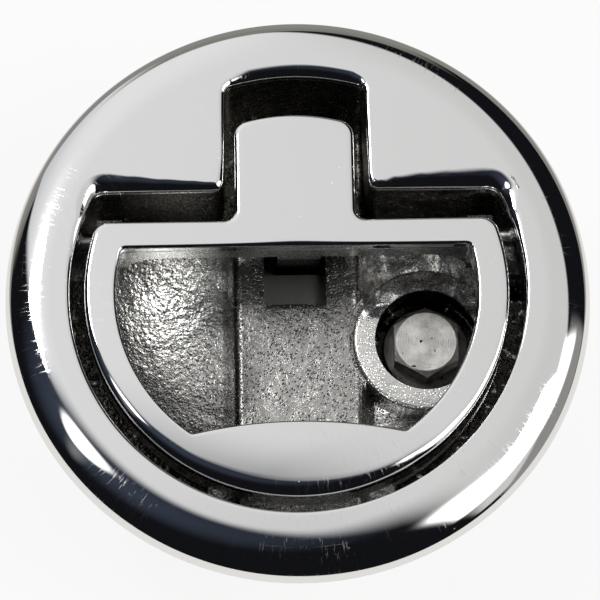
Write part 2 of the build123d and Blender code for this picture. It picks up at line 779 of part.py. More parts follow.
# ---- mounting bracket: a formed bar whose feet pull on the back of the panel ----
bracket_top_z = cover_low_z - bracket_gap
bracket_low_z = bracket_top_z - bracket_t
foot_low_z = -panel_t - bracket_t
with BuildPart() as bracket:
    with BuildSketch(Plane.XZ.offset(-boss_y - bracket_half_y)) as bend:
        with BuildLine():
            Polyline(
                (0, bracket_top_z),
                (leg_in_x, bracket_top_z),
                (leg_in_x, -panel_t),
                (foot_x, -panel_t),
                (foot_x, foot_low_z),
                (leg_out_x, foot_low_z),
                (leg_out_x, bracket_low_z),
                (0, bracket_low_z),
                close=True,
            )
        make_face()
        inner = [(leg_in_x, bracket_top_z), (leg_out_x, foot_low_z)]
        outer = [(leg_in_x, -panel_t), (leg_out_x, bracket_low_z)]
        for corners, radius in ((inner, bracket_bend_r), (outer, bracket_bend_out_r)):
            for x, z in corners:
                fillet(
                    bend.vertices().filter_by(
                        lambda v, x=x, z=z: abs(v.X - x) < near and abs(v.Y - z) < near
                    ),
                    radius,
                )
        mirror(about=Plane.YZ)
    extrude(amount=2 * bracket_half_y)
    with BuildSketch(Plane.XY.offset(bracket_low_z - bead_h)):
        with Locations((-bead_len / 2 - bead_start, boss_y)):
            SlotOverall(bead_len, bead_w)
    extrude(amount=bead_h)
    with BuildSketch(Plane.XY.offset(bracket_low_z - over)):
        with Locations((boss_x, boss_y)):
            Circle(nut_barrel_r + nut_press)
    extrude(amount=bracket_t + 2 * over, mode=Mode.SUBTRACT)
bracket.part.label = "mounting_bracket"
export_step(bracket.part, "parts/mounting_bracket.step")

# ---- clinched nut in the bracket ----
with BuildPart() as nut:
    with BuildSketch(Plane.XY.offset(bracket_low_z)):
        with Locations((boss_x, boss_y)):
            Circle(nut_barrel_r)
    extrude(amount=bracket_t - nut_recess)
    with BuildSketch(Plane.XY.offset(bracket_low_z - nut_h)):
        with Locations((boss_x, boss_y)):
            RegularPolygon(head_af / 2, 6, major_radius=False)
    extrude(amount=nut_h)
    with BuildSketch(Plane.XY.offset(bracket_low_z - nut_h)):
        with Locations((boss_x, boss_y)):
            Circle(bolt_r + thread_gap)
    extrude(amount=nut_h + bracket_t, mode=Mode.SUBTRACT)
nut.part.label = "bracket_nut"
export_step(nut.part, "parts/bracket_nut.step")

# ---- mounting bolt and washer ----
washer_top_z = washer_seat_z + washer_t
with BuildPart() as bolt:
    with BuildSketch(Plane.XY.offset(washer_top_z)):
        with Locations((boss_x, boss_y)):
            RegularPolygon(head_af / 2, 6, major_radius=False, rotation=head_turn)
    extrude(amount=head_h)
    # the head's corners are turned off at 30 degrees
    with BuildSketch(Plane.XZ.offset(-boss_y)):
        with BuildLine():
            corner_r = head_af / sqrt(3) + over
            fall = (corner_r - head_face_r) * tan(radians(30))
            Polyline(
                (boss_x, washer_top_z),
                (boss_x + corner_r, washer_top_z),
                (boss_x + corner_r, washer_top_z + head_h - fall),
                (boss_x + head_face_r, washer_top_z + head_h),
                (boss_x, washer_top_z + head_h),
                close=True,
            )
        make_face()
    revolve(axis=Axis((boss_x, boss_y, 0), (0, 0, 1)), mode=Mode.INTERSECT)
    with BuildSketch(Plane.XY.offset(washer_top_z)):
        with Locations((boss_x, boss_y)):
            Circle(bolt_r)
    extrude(amount=-bolt_len)
    chamfer(bolt.edges().group_by(Axis.Z)[0], bolt_point)
bolt.part.label = "mounting_bolt"
export_step(bolt.part, "parts/mounting_bolt.step")

with BuildPart() as washer:
    with BuildSketch(Plane.XY.offset(washer_seat_z)):
        with Locations((boss_x, boss_y)):
            Circle(washer_r)
            Circle(bolt_r + bolt_hole_gap, mode=Mode.SUBTRACT)
    extrude(amount=washer_t)
    fillet(washer.edges().group_by(Axis.Z)[-1].sort_by(SortBy.LENGTH)[-1], washer_round)
washer.part.label = "flat_washer"
export_step(washer.part, "parts/flat_washer.step")

# ---- gasket under the flange ----
with BuildPart() as gasket:
    with BuildSketch():
        Circle(gasket_r)
        Circle(barrel_r + gasket_inner_gap, mode=Mode.SUBTRACT)
    extrude(amount=gasket_t)
gasket.part.label = "flange_gasket"
export_step(gasket.part, "parts/flange_gasket.step")
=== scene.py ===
"""Dresses the flush pull latch: mirror-polished skins, cast, turned and pressed finishes, stage and camera."""

import logging
from dataclasses import dataclass, field
from enum import Enum
from functools import reduce
from math import cos, radians, sin, sqrt, tan

import bmesh
import bpy
import numpy as np
from mathutils import Matrix, Vector


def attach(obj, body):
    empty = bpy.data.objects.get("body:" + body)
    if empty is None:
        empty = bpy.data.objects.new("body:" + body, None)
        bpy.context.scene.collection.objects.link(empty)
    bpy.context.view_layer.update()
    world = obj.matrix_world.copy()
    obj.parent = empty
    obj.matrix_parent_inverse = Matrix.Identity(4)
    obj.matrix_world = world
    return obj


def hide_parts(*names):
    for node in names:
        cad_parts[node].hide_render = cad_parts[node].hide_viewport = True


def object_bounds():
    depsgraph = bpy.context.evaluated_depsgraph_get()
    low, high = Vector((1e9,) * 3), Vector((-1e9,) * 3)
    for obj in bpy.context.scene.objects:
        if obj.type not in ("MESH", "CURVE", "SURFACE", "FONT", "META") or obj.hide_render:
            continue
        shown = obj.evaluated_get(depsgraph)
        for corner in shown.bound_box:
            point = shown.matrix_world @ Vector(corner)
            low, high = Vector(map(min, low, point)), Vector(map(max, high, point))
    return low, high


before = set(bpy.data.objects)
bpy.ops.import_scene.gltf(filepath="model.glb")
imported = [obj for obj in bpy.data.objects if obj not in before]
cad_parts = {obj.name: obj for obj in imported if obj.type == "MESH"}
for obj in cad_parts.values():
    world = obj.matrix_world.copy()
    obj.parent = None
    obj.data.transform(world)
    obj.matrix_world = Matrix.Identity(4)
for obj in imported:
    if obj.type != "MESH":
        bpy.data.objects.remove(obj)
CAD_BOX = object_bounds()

MM = 0.001
DEGREES = 57.2958
BOLT_AT = (19.2, -3.2)
LOG = logging.getLogger("latch")

Socket = bpy.types.NodeSocket
Axes = tuple[Socket, Socket, Socket]
Groups = dict[str, bpy.types.NodeTree]
Triple = tuple[float, float, float]
Band = tuple[float, float, float, float]
Turns = tuple[float, ...]
Table = tuple[tuple[float, float], ...]


class Slot(Enum):
    """The record's material slots."""

    POLISHED = "polished_casting"
    MACHINED = "machined_steel"
    FASTENER = "fastener_steel"
    SHEET = "sheet_steel"
    SPRING = "spring_steel"
    RUBBER = "black_rubber"


# ---- outlines


@dataclass(frozen=True)
class Arc:
    """One arc of an outline: centre, radius and the angles, in degrees, that it runs between."""

    x: float
    y: float
    r: float
    start: float
    end: float

    def points(self, step: float) -> np.ndarray:
        """Points along the arc, centre + r (cos a, sin a), at most one step apart.

        Args:
            step: the longest distance between two points, in millimetres.

        Returns:
            An (n, 2) array.
        """
        length = abs(radians(self.end - self.start)) * self.r
        a = np.radians(np.linspace(self.start, self.end, max(int(length / step), 6) + 1))
        return np.stack([self.x + self.r * np.cos(a), self.y + self.r * np.sin(a)], 1)


def mirrored(half: list[Arc]) -> list[Arc]:
    """The arcs of a left half that closes a right half: the same arcs in x -> -x, in reverse order."""
    return [Arc(-a.x, a.y, a.r, 180 - a.end, 180 - a.start) for a in reversed(half)]


def closed_line(arcs: list[Arc], step: float) -> np.ndarray:
    """A closed line through the arcs and the straight runs between them.

    Args:
        arcs: in order, counter-clockwise round the shape.
        step: the longest distance between two points, in millimetres.

    Returns:
        An (n, 2) array without a repeated last point.
    """
    runs = [a.points(step) for a in arcs]
    parts = []
    for this, after in zip(runs, runs[1:] + runs[:1]):
        parts.append(this)
        gap = np.linalg.norm(after[0] - this[-1])
        n = int(gap / step)
        if n > 1:
            t = np.linspace(0, 1, n + 1)[1:-1, None]
            parts.append(this[-1] * (1 - t) + after[0] * t)
    line = np.concatenate(parts)
    keep = np.linalg.norm(line - np.roll(line, 1, 0), axis=1) > 1e-6
    return line[keep]


def left_normals(line: np.ndarray) -> np.ndarray:
    """Unit normals of a closed counter-clockwise line, away from what it encloses: (dy, -dx) of its direction.

    Args:
        line: an (n, 2) array.

    Returns:
        An (n, 2) array.
    """
    along = np.roll(line, -1, 0) - np.roll(line, 1, 0)
    along /= np.linalg.norm(along, axis=1)[:, None]
    return np.stack([along[:, 1], -along[:, 0]], 1)


def round_table(line: np.ndarray, table: Table) -> np.ndarray:
    """A value for each point of a line, eased between a table's rows: (1 - s) v0 + s v1, with s = t t (3 - 2 t).

    Args:
        line: an (n, 2) array.
        table: rows of a polar angle in degrees and a value.

    Returns:
        An array of n values.
    """
    angle = np.degrees(np.arctan2(line[:, 1], line[:, 0])) % 360
    a = np.array([row[0] % 360 for row in table])
    v = np.array([row[1] for row in table])
    order = np.argsort(a)
    a, v = a[order], v[order]
    a = np.concatenate([[a[-1] - 360], a, [a[0] + 360]])
    v = np.concatenate([[v[-1]], v, [v[0]]])
    i = np.clip(np.searchsorted(a, angle, side="right") - 1, 0, len(a) - 2)
    t = (angle - a[i]) / np.maximum(a[i + 1] - a[i], 1e-9)
    t = t * t * (3 - 2 * t)
    return v[i] * (1 - t) + v[i + 1] * t


# ---- meshes


def linked(name: str, data: bpy.types.ID) -> bpy.types.Object:
    """A new object in the scene.

    Args:
        name: its name.
        data: its mesh, lamp or camera.

    Returns:
        The object.
    """
    made = bpy.data.objects.new(name, data)
    bpy.context.scene.collection.objects.link(made)
    return made


def grid_mesh(name: str, rings: np.ndarray) -> bpy.types.Object:
    """A surface through rings of points, closed along each ring and open across them.

    Args:
        name: the new object's name.
        rings: an (m, n, 3) array in millimetres: m rings of n points.

    Returns:
        The object, smooth-shaded, with its place in its mesh.
    """
    m, n = rings.shape[:2]
    row = np.arange(n)
    after = (row + 1) % n
    lower = (np.arange(m - 1) * n)[:, None]
    quads = np.stack([lower + row, lower + after, lower + n + after, lower + n + row], 2)
    quads = quads.reshape(-1, 4).astype(np.int32)
    mesh = bpy.data.meshes.new(name)
    mesh.vertices.add(m * n)
    mesh.vertices.foreach_set("co", (rings.reshape(-1, 3) * MM).astype(np.float32).ravel())
    mesh.loops.add(quads.size)
    mesh.loops.foreach_set("vertex_index", quads.ravel())
    mesh.polygons.add(len(quads))
    mesh.polygons.foreach_set("loop_start", np.arange(0, quads.size, 4, dtype=np.int32))
    mesh.update(calc_edges=True)
    mesh.validate()
    mesh.shade_smooth()
    return linked(name, mesh)


def ring(line: np.ndarray, z: np.ndarray | float) -> np.ndarray:
    """A line of (x, y) points lifted to height z, as an (n, 3) array."""
    return np.column_stack([line, np.broadcast_to(z, len(line))])


def below(node: str, name: str, height: float, drop_rim: float | None = None) -> bpy.types.Object:
    """A merged copy of a CAD node, cut off flat at a height.

    Args:
        node: the CAD node.
        name: the copy's name.
        height: everything above this, in millimetres, is left out.
        drop_rim: if given, outward-facing faces beyond this radius are left out too.

    Returns:
        The copy, smooth-shaded with sharp edges kept.
    """
    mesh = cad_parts[node].data.copy()
    mesh.name = name
    mesh.materials.clear()
    bm = bmesh.new()
    bm.from_mesh(mesh)
    bmesh.ops.remove_doubles(bm, verts=bm.verts, dist=2e-6)
    everything = bm.verts[:] + bm.edges[:] + bm.faces[:]
    bmesh.ops.bisect_plane(
        bm, geom=everything, dist=1e-7, plane_co=(0, 0, height * MM), plane_no=(0, 0, 1), clear_outer=True
    )
    if drop_rim is not None:
        beyond = [face for face in bm.faces if face.calc_center_median().xy.length > drop_rim * MM]
        gone = [face for face in beyond if face.normal.z > -0.5]
        bmesh.ops.delete(bm, geom=gone, context="FACES")
    bm.to_mesh(mesh)
    bm.free()
    for layer in [a.name for a in mesh.attributes if a.name == "custom_normal"]:
        mesh.attributes.remove(mesh.attributes[layer])
    mesh.shade_smooth()
    mesh.set_sharp_from_angle(angle=radians(28))
    return linked(name, mesh)


# ---- shader helpers


@dataclass(frozen=True)
class Ramp:
    """A smooth step: a up to low and b from high on, both in millimetres."""

    low: float
    high: float
    a: float = 0.0
    b: float = 1.0


class Nodes:
    """A short way to add and join shader nodes in one tree."""

    def __init__(self, tree: bpy.types.NodeTree) -> None:
        """Keeps the tree that nodes are added to."""
        self.tree = tree

    def add(self, kind: str, **values: object) -> bpy.types.Node:
        """A new node.

        Args:
            kind: the node's type.
            values: each is set on the node, or on its input of that name with _ for a space.

        Returns:
            The node.
        """
        node = self.tree.nodes.new(kind)
        for key, value in values.items():
            if hasattr(node, key):
                setattr(node, key, value)
            else:
                self.put(node.inputs[key.replace("_", " ")], value)
        return node

    def put(self, socket: Socket, value: object) -> None:
        """Joins a socket to another, or sets its constant.

        Args:
            socket: an input.
            value: another node's output, or a constant.
        """
        if isinstance(value, Socket):
            self.tree.links.new(value, socket)
        else:
            socket.default_value = value

    def math(self, operation: str, a: object, b: object = 0.0, c: object = 0.0) -> Socket:
        """The result of one math node.

        Args:
            operation: the node's operation.
            a, b, c: its values.

        Returns:
            The output.
        """
        node = self.add("ShaderNodeMath", operation=operation)
        for socket, value in zip(node.inputs, (a, b, c)):
            self.put(socket, value)
        return node.outputs[0]

    def product(self, *masks: Socket) -> Socket:
        """All masks multiplied."""
        return reduce(lambda a, b: self.math("MULTIPLY", a, b), masks)

    def most(self, *masks: Socket) -> Socket:
        """The highest of the masks."""
        return reduce(lambda a, b: self.math("MAXIMUM", a, b), masks)

    def hypot(self, a: Socket, b: Socket) -> Socket:
        """The square root of a squared plus b squared."""
        return self.math("SQRT", self.math("MULTIPLY_ADD", a, a, self.math("MULTIPLY", b, b)))

    def axes(self, vector: Socket) -> list[Socket]:
        """The X, Y and Z of a vector."""
        return list(self.add("ShaderNodeSeparateXYZ", Vector=vector).outputs)

    def steps(self, value: object, low: float, high: float, a: float = 0.0, b: float = 1.0) -> Socket:
        """A value mapped by a smooth step and held outside it.

        Args:
            value: what is mapped.
            low: where the step starts.
            high: where it ends.
            a: the result up to low.
            b: the result from high on.

        Returns:
            The output.
        """
        node = self.add("ShaderNodeMapRange", interpolation_type="SMOOTHSTEP")
        for socket, given in zip(node.inputs, (value, low, high, a, b)):
            self.put(socket, given)
        return node.outputs[0]

    def ramp(self, value: Socket, ramp: Ramp) -> Socket:
        """A length mapped by a ramp."""
        return self.steps(value, ramp.low * MM, ramp.high * MM, ramp.a, ramp.b)

    def mix(self, share: object, a: object, b: object) -> Socket:
        """Two colours mixed.

        Args:
            share: how much of b there is.
            a: the colour at 0.
            b: the colour at 1.

        Returns:
            The output.
        """
        node = self.add("ShaderNodeMix", data_type="RGBA")
        for index, value in ((0, share), (6, a), (7, b)):
            self.put(node.inputs[index], value)
        return node.outputs[2]

    def noise(self, vector: Socket, scale: float, detail: float = 3.0, rough: float = 0.55) -> Socket:
        """The value of a noise texture at a vector."""
        node = self.add("ShaderNodeTexNoise", Scale=scale, Detail=detail, Roughness=rough, Vector=vector)
        return node.outputs[0]


def new_group(name: str, inputs: dict[str, float], outputs: list[str]) -> tuple[bpy.types.NodeTree, Nodes]:
    """An empty shader node group with a Vector input, float inputs and float outputs.

    Args:
        name: the group's name.
        inputs: names of the float inputs, with their defaults.
        outputs: names of the float outputs.

    Returns:
        The group and a helper that adds nodes to it.
    """
    group = bpy.data.node_groups.new(name, "ShaderNodeTree")
    group.interface.new_socket("Vector", in_out="INPUT", socket_type="NodeSocketVector")
    for key, value in inputs.items():
        socket = group.interface.new_socket(key, in_out="INPUT", socket_type="NodeSocketFloat")
        socket.default_value = value
    for key in outputs:
        group.interface.new_socket(key, in_out="OUTPUT", socket_type="NodeSocketFloat")
    return group, Nodes(group)


@dataclass(frozen=True)
class Hairlines:
    """Fine lines drawn in polar coordinates: their stretch, the noise's scale and the value a line starts at."""

    by_angle: float
    by_radius: float
    scale: float
    start: float
    fade: float = 0.09
    share: float = 0.5


HAIRLINES = (Hairlines(24.0, 62.0, 7.0, 0.575), Hairlines(2.2, 5200.0, 1.0, 0.70))


def scratches_group() -> bpy.types.NodeTree:
    """Fine polishing marks: hairlines that cross the rim, a few along it, and small nicks, all in patches.

    Returns:
        The group. Its output is the mask of the marks.
    """
    group, n = new_group("fine_scratches", {"Scale": 1.0, "Amount": 0.5}, ["Mask"])
    inside = n.add("NodeGroupInput")
    out = n.add("NodeGroupOutput")
    where = inside.outputs["Vector"]
    x, y, z = n.axes(where)
    turn = n.math("ARCTAN2", y, n.math("ABSOLUTE", x))
    radius = n.hypot(x, y)
    lines = []
    for kind in HAIRLINES:
        polar = n.add("ShaderNodeCombineXYZ")
        for socket, axis, stretch in zip(polar.inputs, (turn, radius, z), (kind.by_angle, kind.by_radius, 90.0)):
            n.put(socket, n.math("MULTIPLY", axis, stretch))
        scaled = n.add("ShaderNodeVectorMath", operation="SCALE")
        n.put(scaled.inputs[0], polar.outputs[0])
        n.put(scaled.inputs[3], inside.outputs["Scale"])
        noise = n.noise(scaled.outputs[0], kind.scale, 2.0, 0.6)
        lines.append(n.math("MULTIPLY", n.steps(noise, kind.start, kind.start + kind.fade), kind.share))
    patches = n.steps(n.noise(where, 95.0, 2.0), 0.40, 0.62)
    cells = n.add("ShaderNodeTexVoronoi", Scale=420.0, feature="F1", Vector=where)
    dots = n.steps(cells.outputs["Distance"], 0.04, 0.09, 1.0, 0.0)
    nicks = n.product(dots, n.steps(n.noise(where, 60.0), 0.5, 0.62))
    marks = n.most(n.product(n.most(*lines), patches), nicks)
    n.put(out.inputs["Mask"], n.math("MULTIPLY", marks, inside.outputs["Amount"]))
    return group


def cast_group() -> bpy.types.NodeTree:
    """As-cast skin: close orange peel over slow lumps, fine grit, and small round pits.

    Returns:
        The group. Its outputs are the height, the mask of the pits and the grit.
    """
    group, n = new_group("cast_skin", {"Peel": 1.0}, ["Height", "Pit", "Grit"])
    inside = n.add("NodeGroupInput")
    out = n.add("NodeGroupOutput")
    where = inside.outputs["Vector"]
    peel = n.noise(where, 1500.0, 2.0, 0.5)
    grit = n.noise(where, 4200.0, 2.0, 0.6)
    lump = n.noise(where, 260.0, 2.0, 0.5)
    cells = n.add("ShaderNodeTexVoronoi", Scale=2300.0, feature="F1", Vector=where)
    some = n.steps(n.noise(where, 420.0, 2.0, 0.5), 0.3, 0.52)
    pit = n.product(n.steps(cells.outputs["Distance"], 0.14, 0.42, 1.0, 0.0), some)
    high = n.math("MULTIPLY", peel, inside.outputs["Peel"])
    for part, share in ((grit, 0.12), (lump, 1.6), (pit, -0.5)):
        high = n.math("MULTIPLY_ADD", part, share, high)
    for key, value in (("Height", high), ("Pit", pit), ("Grit", grit)):
        n.put(out.inputs[key], value)
    return group


def place(n: Nodes, group: bpy.types.NodeTree, vector: Socket, **values: object) -> bpy.types.Node:
    """A group node in a material.

    Args:
        n: the material's node helper.
        group: the shared group.
        vector: what its Vector input gets.
        values: what its other inputs get.

    Returns:
        The node.
    """
    node = n.add("ShaderNodeGroup", node_tree=group)
    for key, value in {"Vector": vector, **values}.items():
        n.put(node.inputs[key], value)
    return node


# ---- finishes


@dataclass
class Canvas:
    """What a finish works on: the node helper, the Principled node, Object coordinates and the shared groups."""

    n: Nodes
    shader: bpy.types.Node
    where: Socket
    shared: Groups

    def bump(self, height: Socket, depth: float) -> None:
        """Feeds a height into the shader's normal.

        Args:
            height: the socket with the height.
            depth: what a height of 1 stands for, in millimetres.
        """
        bump = self.n.add("ShaderNodeBump", Strength=1.0, Distance=depth * MM, Height=height)
        self.n.put(self.shader.inputs["Normal"], bump.outputs[0])

    def feed(self, **sockets: object) -> None:
        """Feeds the shader's inputs, with _ in a name for a space."""
        for key, value in sockets.items():
            self.n.put(self.shader.inputs[key.replace("_", " ")], value)


@dataclass(frozen=True)
class Finish:
    """A finish: builds one Principled material whose pattern follows Object coordinates."""

    name: str
    color: Triple = (0.7, 0.7, 0.7)
    roughness: float = 0.3

    def build(self, shared: Groups) -> bpy.types.Material:
        """Makes the material.

        Args:
            shared: the node groups, by name.

        Returns:
            The material.
        """
        material = bpy.data.materials.new(self.name)
        material.use_nodes = True
        n = Nodes(material.node_tree)
        shader = material.node_tree.nodes["Principled BSDF"]
        canvas = Canvas(n, shader, n.add("ShaderNodeTexCoord").outputs["Object"], shared)
        canvas.feed(Base_Color=(*self.color, 1), Metallic=1.0, Roughness=self.roughness)
        self.detail(canvas)
        return material

    def detail(self, on: Canvas) -> None:
        """Adds this finish's pattern. The plain finish has none."""

    def mottled(self, n: Nodes, share: Socket, dark: float) -> Socket:
        """The colour where the share is 1, and a dark part of it where the share is 0."""
        return n.mix(share, (*(c * dark for c in self.color), 1), (*self.color, 1))


@dataclass(frozen=True)
class MirrorPolish(Finish):
    """Mirror-polished stainless steel with hairline scratches and a faint waviness."""

    scratch: float = 0.8
    scratch_roughness: float = 0.42
    wave_depth: float = 0.02

    def detail(self, on: Canvas) -> None:
        """Scratches raise the roughness, and slow waves bend the reflection a little.

        Args:
            on: the material to work on.
        """
        n = on.n
        lines = place(n, on.shared["scratches"], on.where, Scale=1.0, Amount=self.scratch).outputs["Mask"]
        on.feed(Roughness=n.math("MULTIPLY_ADD", lines, self.scratch_roughness, self.roughness))
        on.bump(n.math("MULTIPLY_ADD", lines, -0.02, n.noise(on.where, 45.0, 1.0, 0.4)), self.wave_depth)


@dataclass(frozen=True)
class CastSkin(Finish):
    """As-cast and tumbled steel: satin orange peel with small dark pits, and painted shade where light doesn't reach.

    Lengths are in millimetres. The zones of the cup are products of ramps along X, Y and Z or away from the bore.
    """

    depth: float = 0.09
    left_of: float = -10.4
    smooth: float = 0.35
    # painted shade: the cup is darkened above the first height, the handle's cast part below the second
    shade_above: float | None = None
    shade_below: float | None = None
    dark: Triple = (0.12, 0.118, 0.11)
    # painted highlight and painted shade colours of the cup: lighter boss, lumps and upper bowl, darker tunnel top,
    # near-black gaps and dark rear walls
    bright: Triple = (0.88, 0.87, 0.84)
    roof_shade: Triple = (0.10, 0.098, 0.092)
    black: Triple = (0.022, 0.021, 0.018)
    rear_black: Triple = (0.085, 0.08, 0.067)
    # half width of the front sector left out of the painted shade
    lit_half_w: float = 7.5
    front_slot_y: Ramp = Ramp(-26.0, -24.0)
    rear_y: Ramp = Ramp(12.0, 13.0)
    black_y: Ramp = Ramp(9.0, 12.5)
    bore_z: Ramp = Ramp(-11.8, -11.3, 1.0, 0.0)
    bore_away: Ramp = Ramp(7.8, 7.9, 1.0, 0.0)
    crease_left_x: Ramp = Ramp(-11.8, -10.8)
    crease_right_x: Ramp = Ramp(-9.2, -8.5, 1.0, 0.0)
    crease_z: Ramp = Ramp(-10.4, -9.9, 0.9, 0.6)
    boss_away: Ramp = Ramp(10.6, 10.9, 0.75, 0.0)
    boss_z: Ramp = Ramp(-11.9, -11.5)
    lumps_x: Ramp = Ramp(9.5, 12.0)
    lumps_y: Ramp = Ramp(0.0, 2.5)
    bowl_x: Ramp = Ramp(-11.2, -10.4, 1.0, 0.0)
    bowl_y: Ramp = Ramp(-14.0, 3.0, 0.0, 0.85)
    roof_z: Ramp = Ramp(-10.8, -10.4)
    roof_left_x: Ramp = Ramp(-9.5, -3.5, 0.75, 0.0)
    roof_rear_y: Ramp = Ramp(-8.0, 2.0, 0.0, 0.5)
    roof_end_x: Ramp = Ramp(8.5, 9.5, 1.0, 0.0)

    def detail(self, on: Canvas) -> None:
        """Orange peel in the normal, deeper in the left bowl; darker pits; painted shade high on the walls, and low
        on the handle's cast part.

        Args:
            on: the material to work on.
        """
        n = on.n
        x, y, z = n.axes(on.where)
        peel = n.ramp(x, Ramp(self.left_of - 0.4, self.left_of + 0.4, 1.0, self.smooth))
        skin = place(n, on.shared["cast"], on.where, Peel=peel)
        colour = self.mottled(n, n.steps(n.noise(on.where, 170.0, 3.0), 0.3, 0.72), 0.84)
        colour = n.mix(n.math("MULTIPLY", skin.outputs["Pit"], 0.6), colour, (*self.dark, 1))
        height = skin.outputs["Height"]
        if self.shade_above is not None:
            colour, height = self.cup(on, (x, y, z), colour, height)
        # painted shade: the handle's cast part darkened below a height
        if self.shade_below is not None:
            low = n.ramp(z, Ramp(self.shade_below - 1.0, self.shade_below, 1.0, 0.0))
            colour = n.mix(low, colour, (*self.dark, 1))
        rough = n.math("MULTIPLY_ADD", skin.outputs["Grit"], 0.22, self.roughness - 0.11)
        on.feed(Base_Color=colour, Roughness=rough)
        on.bump(height, self.depth)

    def cup(self, on: Canvas, axes: Axes, colour: Socket, height: Socket) -> tuple[Socket, Socket]:
        """The zones of the cup: painted shade in its gaps and high on its walls, the machined boss, the lumps and the
        upper bowl lightened as painted highlights, and painted shade on the tunnel top.

        Args:
            on: the material to work on.
            axes: X, Y and Z.
            colour: the plain skin's colour.
            height: the plain skin's height.

        Returns:
            The colour and the height with the zones.
        """
        n = on.n
        x, y, z = axes
        away = n.hypot(*(n.math("SUBTRACT", axis, at * MM) for axis, at in zip((x, y), BOLT_AT)))
        boss = n.product(n.ramp(away, self.boss_away), n.ramp(z, self.boss_z))
        lumps = n.product(n.ramp(y, self.lumps_y), n.ramp(x, self.lumps_x))
        bowl = n.product(n.ramp(y, self.bowl_y), n.ramp(x, self.bowl_x))
        # painted highlight: the boss's machined face, the lumps above it and the bowl's upper part lightened
        colour = n.mix(n.most(boss, lumps, bowl), colour, (*self.bright, 1))
        # painted shade on the tunnel top: darker to the left, and to the rear under the bar
        roof_shade = n.product(n.ramp(z, self.roof_z), n.most(n.ramp(x, self.roof_left_x), n.ramp(y, self.roof_rear_y)))
        colour = n.mix(n.product(roof_shade, n.ramp(x, self.roof_end_x)), colour, (*self.roof_shade, 1))
        # painted shade: near black in the gaps, dark olive at the rear walls
        black = n.mix(n.ramp(y, self.black_y), (*self.black, 1), (*self.rear_black, 1))
        colour = n.mix(self.scale(on, axes, away), colour, black)
        hills = n.product(n.math("MULTIPLY_ADD", lumps, 14.0, boss), n.noise(on.where, 175.0, 1.0, 0.4))
        return colour, n.math("MULTIPLY_ADD", height, n.math("MULTIPLY_ADD", boss, -0.9, 1.0), hills)

    def scale(self, on: Canvas, axes: Axes, away: Socket) -> Socket:
        """The mask of the painted shade: high on the walls, at the rear, in the bore and in the bowl's crease.

        Args:
            on: the material to work on.
            axes: X, Y and Z.
            away: the distance from the bore's axis.

        Returns:
            The mask, broken up by spots.
        """
        n = on.n
        x, y, z = axes
        # painted shade where light doesn't reach: high walls beside the front sector, the rear, the bore and the
        # crease
        high = n.ramp(z, Ramp(self.shade_above - 1.2, self.shade_above + 0.6))
        aside = n.ramp(n.math("ABSOLUTE", x), Ramp(self.lit_half_w - 0.3, self.lit_half_w + 0.3))
        walls = n.product(high, n.most(aside, n.ramp(y, self.front_slot_y)))
        bore = n.product(n.ramp(z, self.bore_z), n.ramp(away, self.bore_away))
        crease = n.product(n.ramp(x, self.crease_left_x), n.ramp(x, self.crease_right_x), n.ramp(z, self.crease_z))
        spots = n.steps(n.noise(on.where, 900.0, 3.0, 0.6), 0.56, 0.72, 1.0, 0.3)
        return n.product(n.most(walls, n.ramp(y, self.rear_y), bore, crease), spots)


@dataclass(frozen=True)
class TurnedSteel(Finish):
    """Turned or cold-headed steel: fine rings round an upright axis, with a few pits."""

    at: tuple[float, float] = (0.0, 0.0)
    ring_scale: float = 2600.0
    pit: Triple = (0.03, 0.028, 0.025)

    def detail(self, on: Canvas) -> None:
        """Rings as a wave of the distance from the axis, broken by noise, and small dark pits.

        Args:
            on: the material to work on.
        """
        n = on.n
        x, y, _ = n.axes(on.where)
        distance = n.hypot(*(n.math("SUBTRACT", axis, at * MM) for axis, at in zip((x, y), self.at)))
        radius = n.math("MULTIPLY_ADD", n.noise(on.where, 300.0, 2.0), 0.0008, distance)
        rings = n.math("SINE", n.math("MULTIPLY", radius, self.ring_scale * 6.28))
        grit = n.noise(on.where, 2600.0, 3.0, 0.6)
        pits = n.steps(n.noise(on.where, 900.0, 2.0, 0.5), 0.66, 0.72)
        on.bump(n.math("MULTIPLY_ADD", rings, 0.12, n.math("SUBTRACT", grit, n.math("MULTIPLY", pits, 2.5))), 0.035)
        colour = self.mottled(n, n.steps(n.noise(on.where, 420.0, 4.0), 0.3, 0.75), 0.62)
        rough = n.math("MULTIPLY_ADD", grit, 0.2, self.roughness - 0.1)
        on.feed(Base_Color=n.mix(pits, colour, (*self.pit, 1)), Roughness=rough)


@dataclass(frozen=True)
class SheetSteel(Finish):
    """Rolled or milled sheet: long faint lines along X with a soft mottle."""

    def detail(self, on: Canvas) -> None:
        """Lines as noise stretched along X, and the shared scratches.

        Args:
            on: the material to work on.
        """
        n = on.n
        long = n.add("ShaderNodeMapping", Scale=(0.03, 1.0, 1.0), Vector=on.where)
        lines = n.noise(long.outputs[0], 2200.0, 3.0, 0.6)
        marks = place(n, on.shared["scratches"], on.where, Scale=0.8, Amount=0.9).outputs["Mask"]
        rough = n.math("MULTIPLY_ADD", lines, 0.22, self.roughness - 0.1)
        on.bump(n.math("MULTIPLY_ADD", marks, -0.6, lines), 0.012)
        on.feed(Base_Color=self.mottled(n, n.steps(n.noise(on.where, 90.0, 3.0), 0.3, 0.7), 0.82), Roughness=rough)


@dataclass(frozen=True)
class Rubber(Finish):
    """Matt black moulded rubber with a fine bloom."""

    dust: Triple = (0.07, 0.07, 0.068)

    def detail(self, on: Canvas) -> None:
        """A fine leathery grain and a little grey dust.

        Args:
            on: the material to work on.
        """
        n = on.n
        grain = n.noise(on.where, 1800.0, 3.0, 0.6)
        dust = n.steps(n.noise(on.where, 150.0, 4.0), 0.45, 0.75, 0.0, 0.5)
        colour = n.mix(dust, (*self.color, 1), (*self.dust, 1))
        on.feed(Metallic=0.0, Base_Color=colour, Roughness=n.math("MULTIPLY_ADD", grain, 0.2, self.roughness))
        on.bump(grain, 0.03)


# ---- sub-assemblies


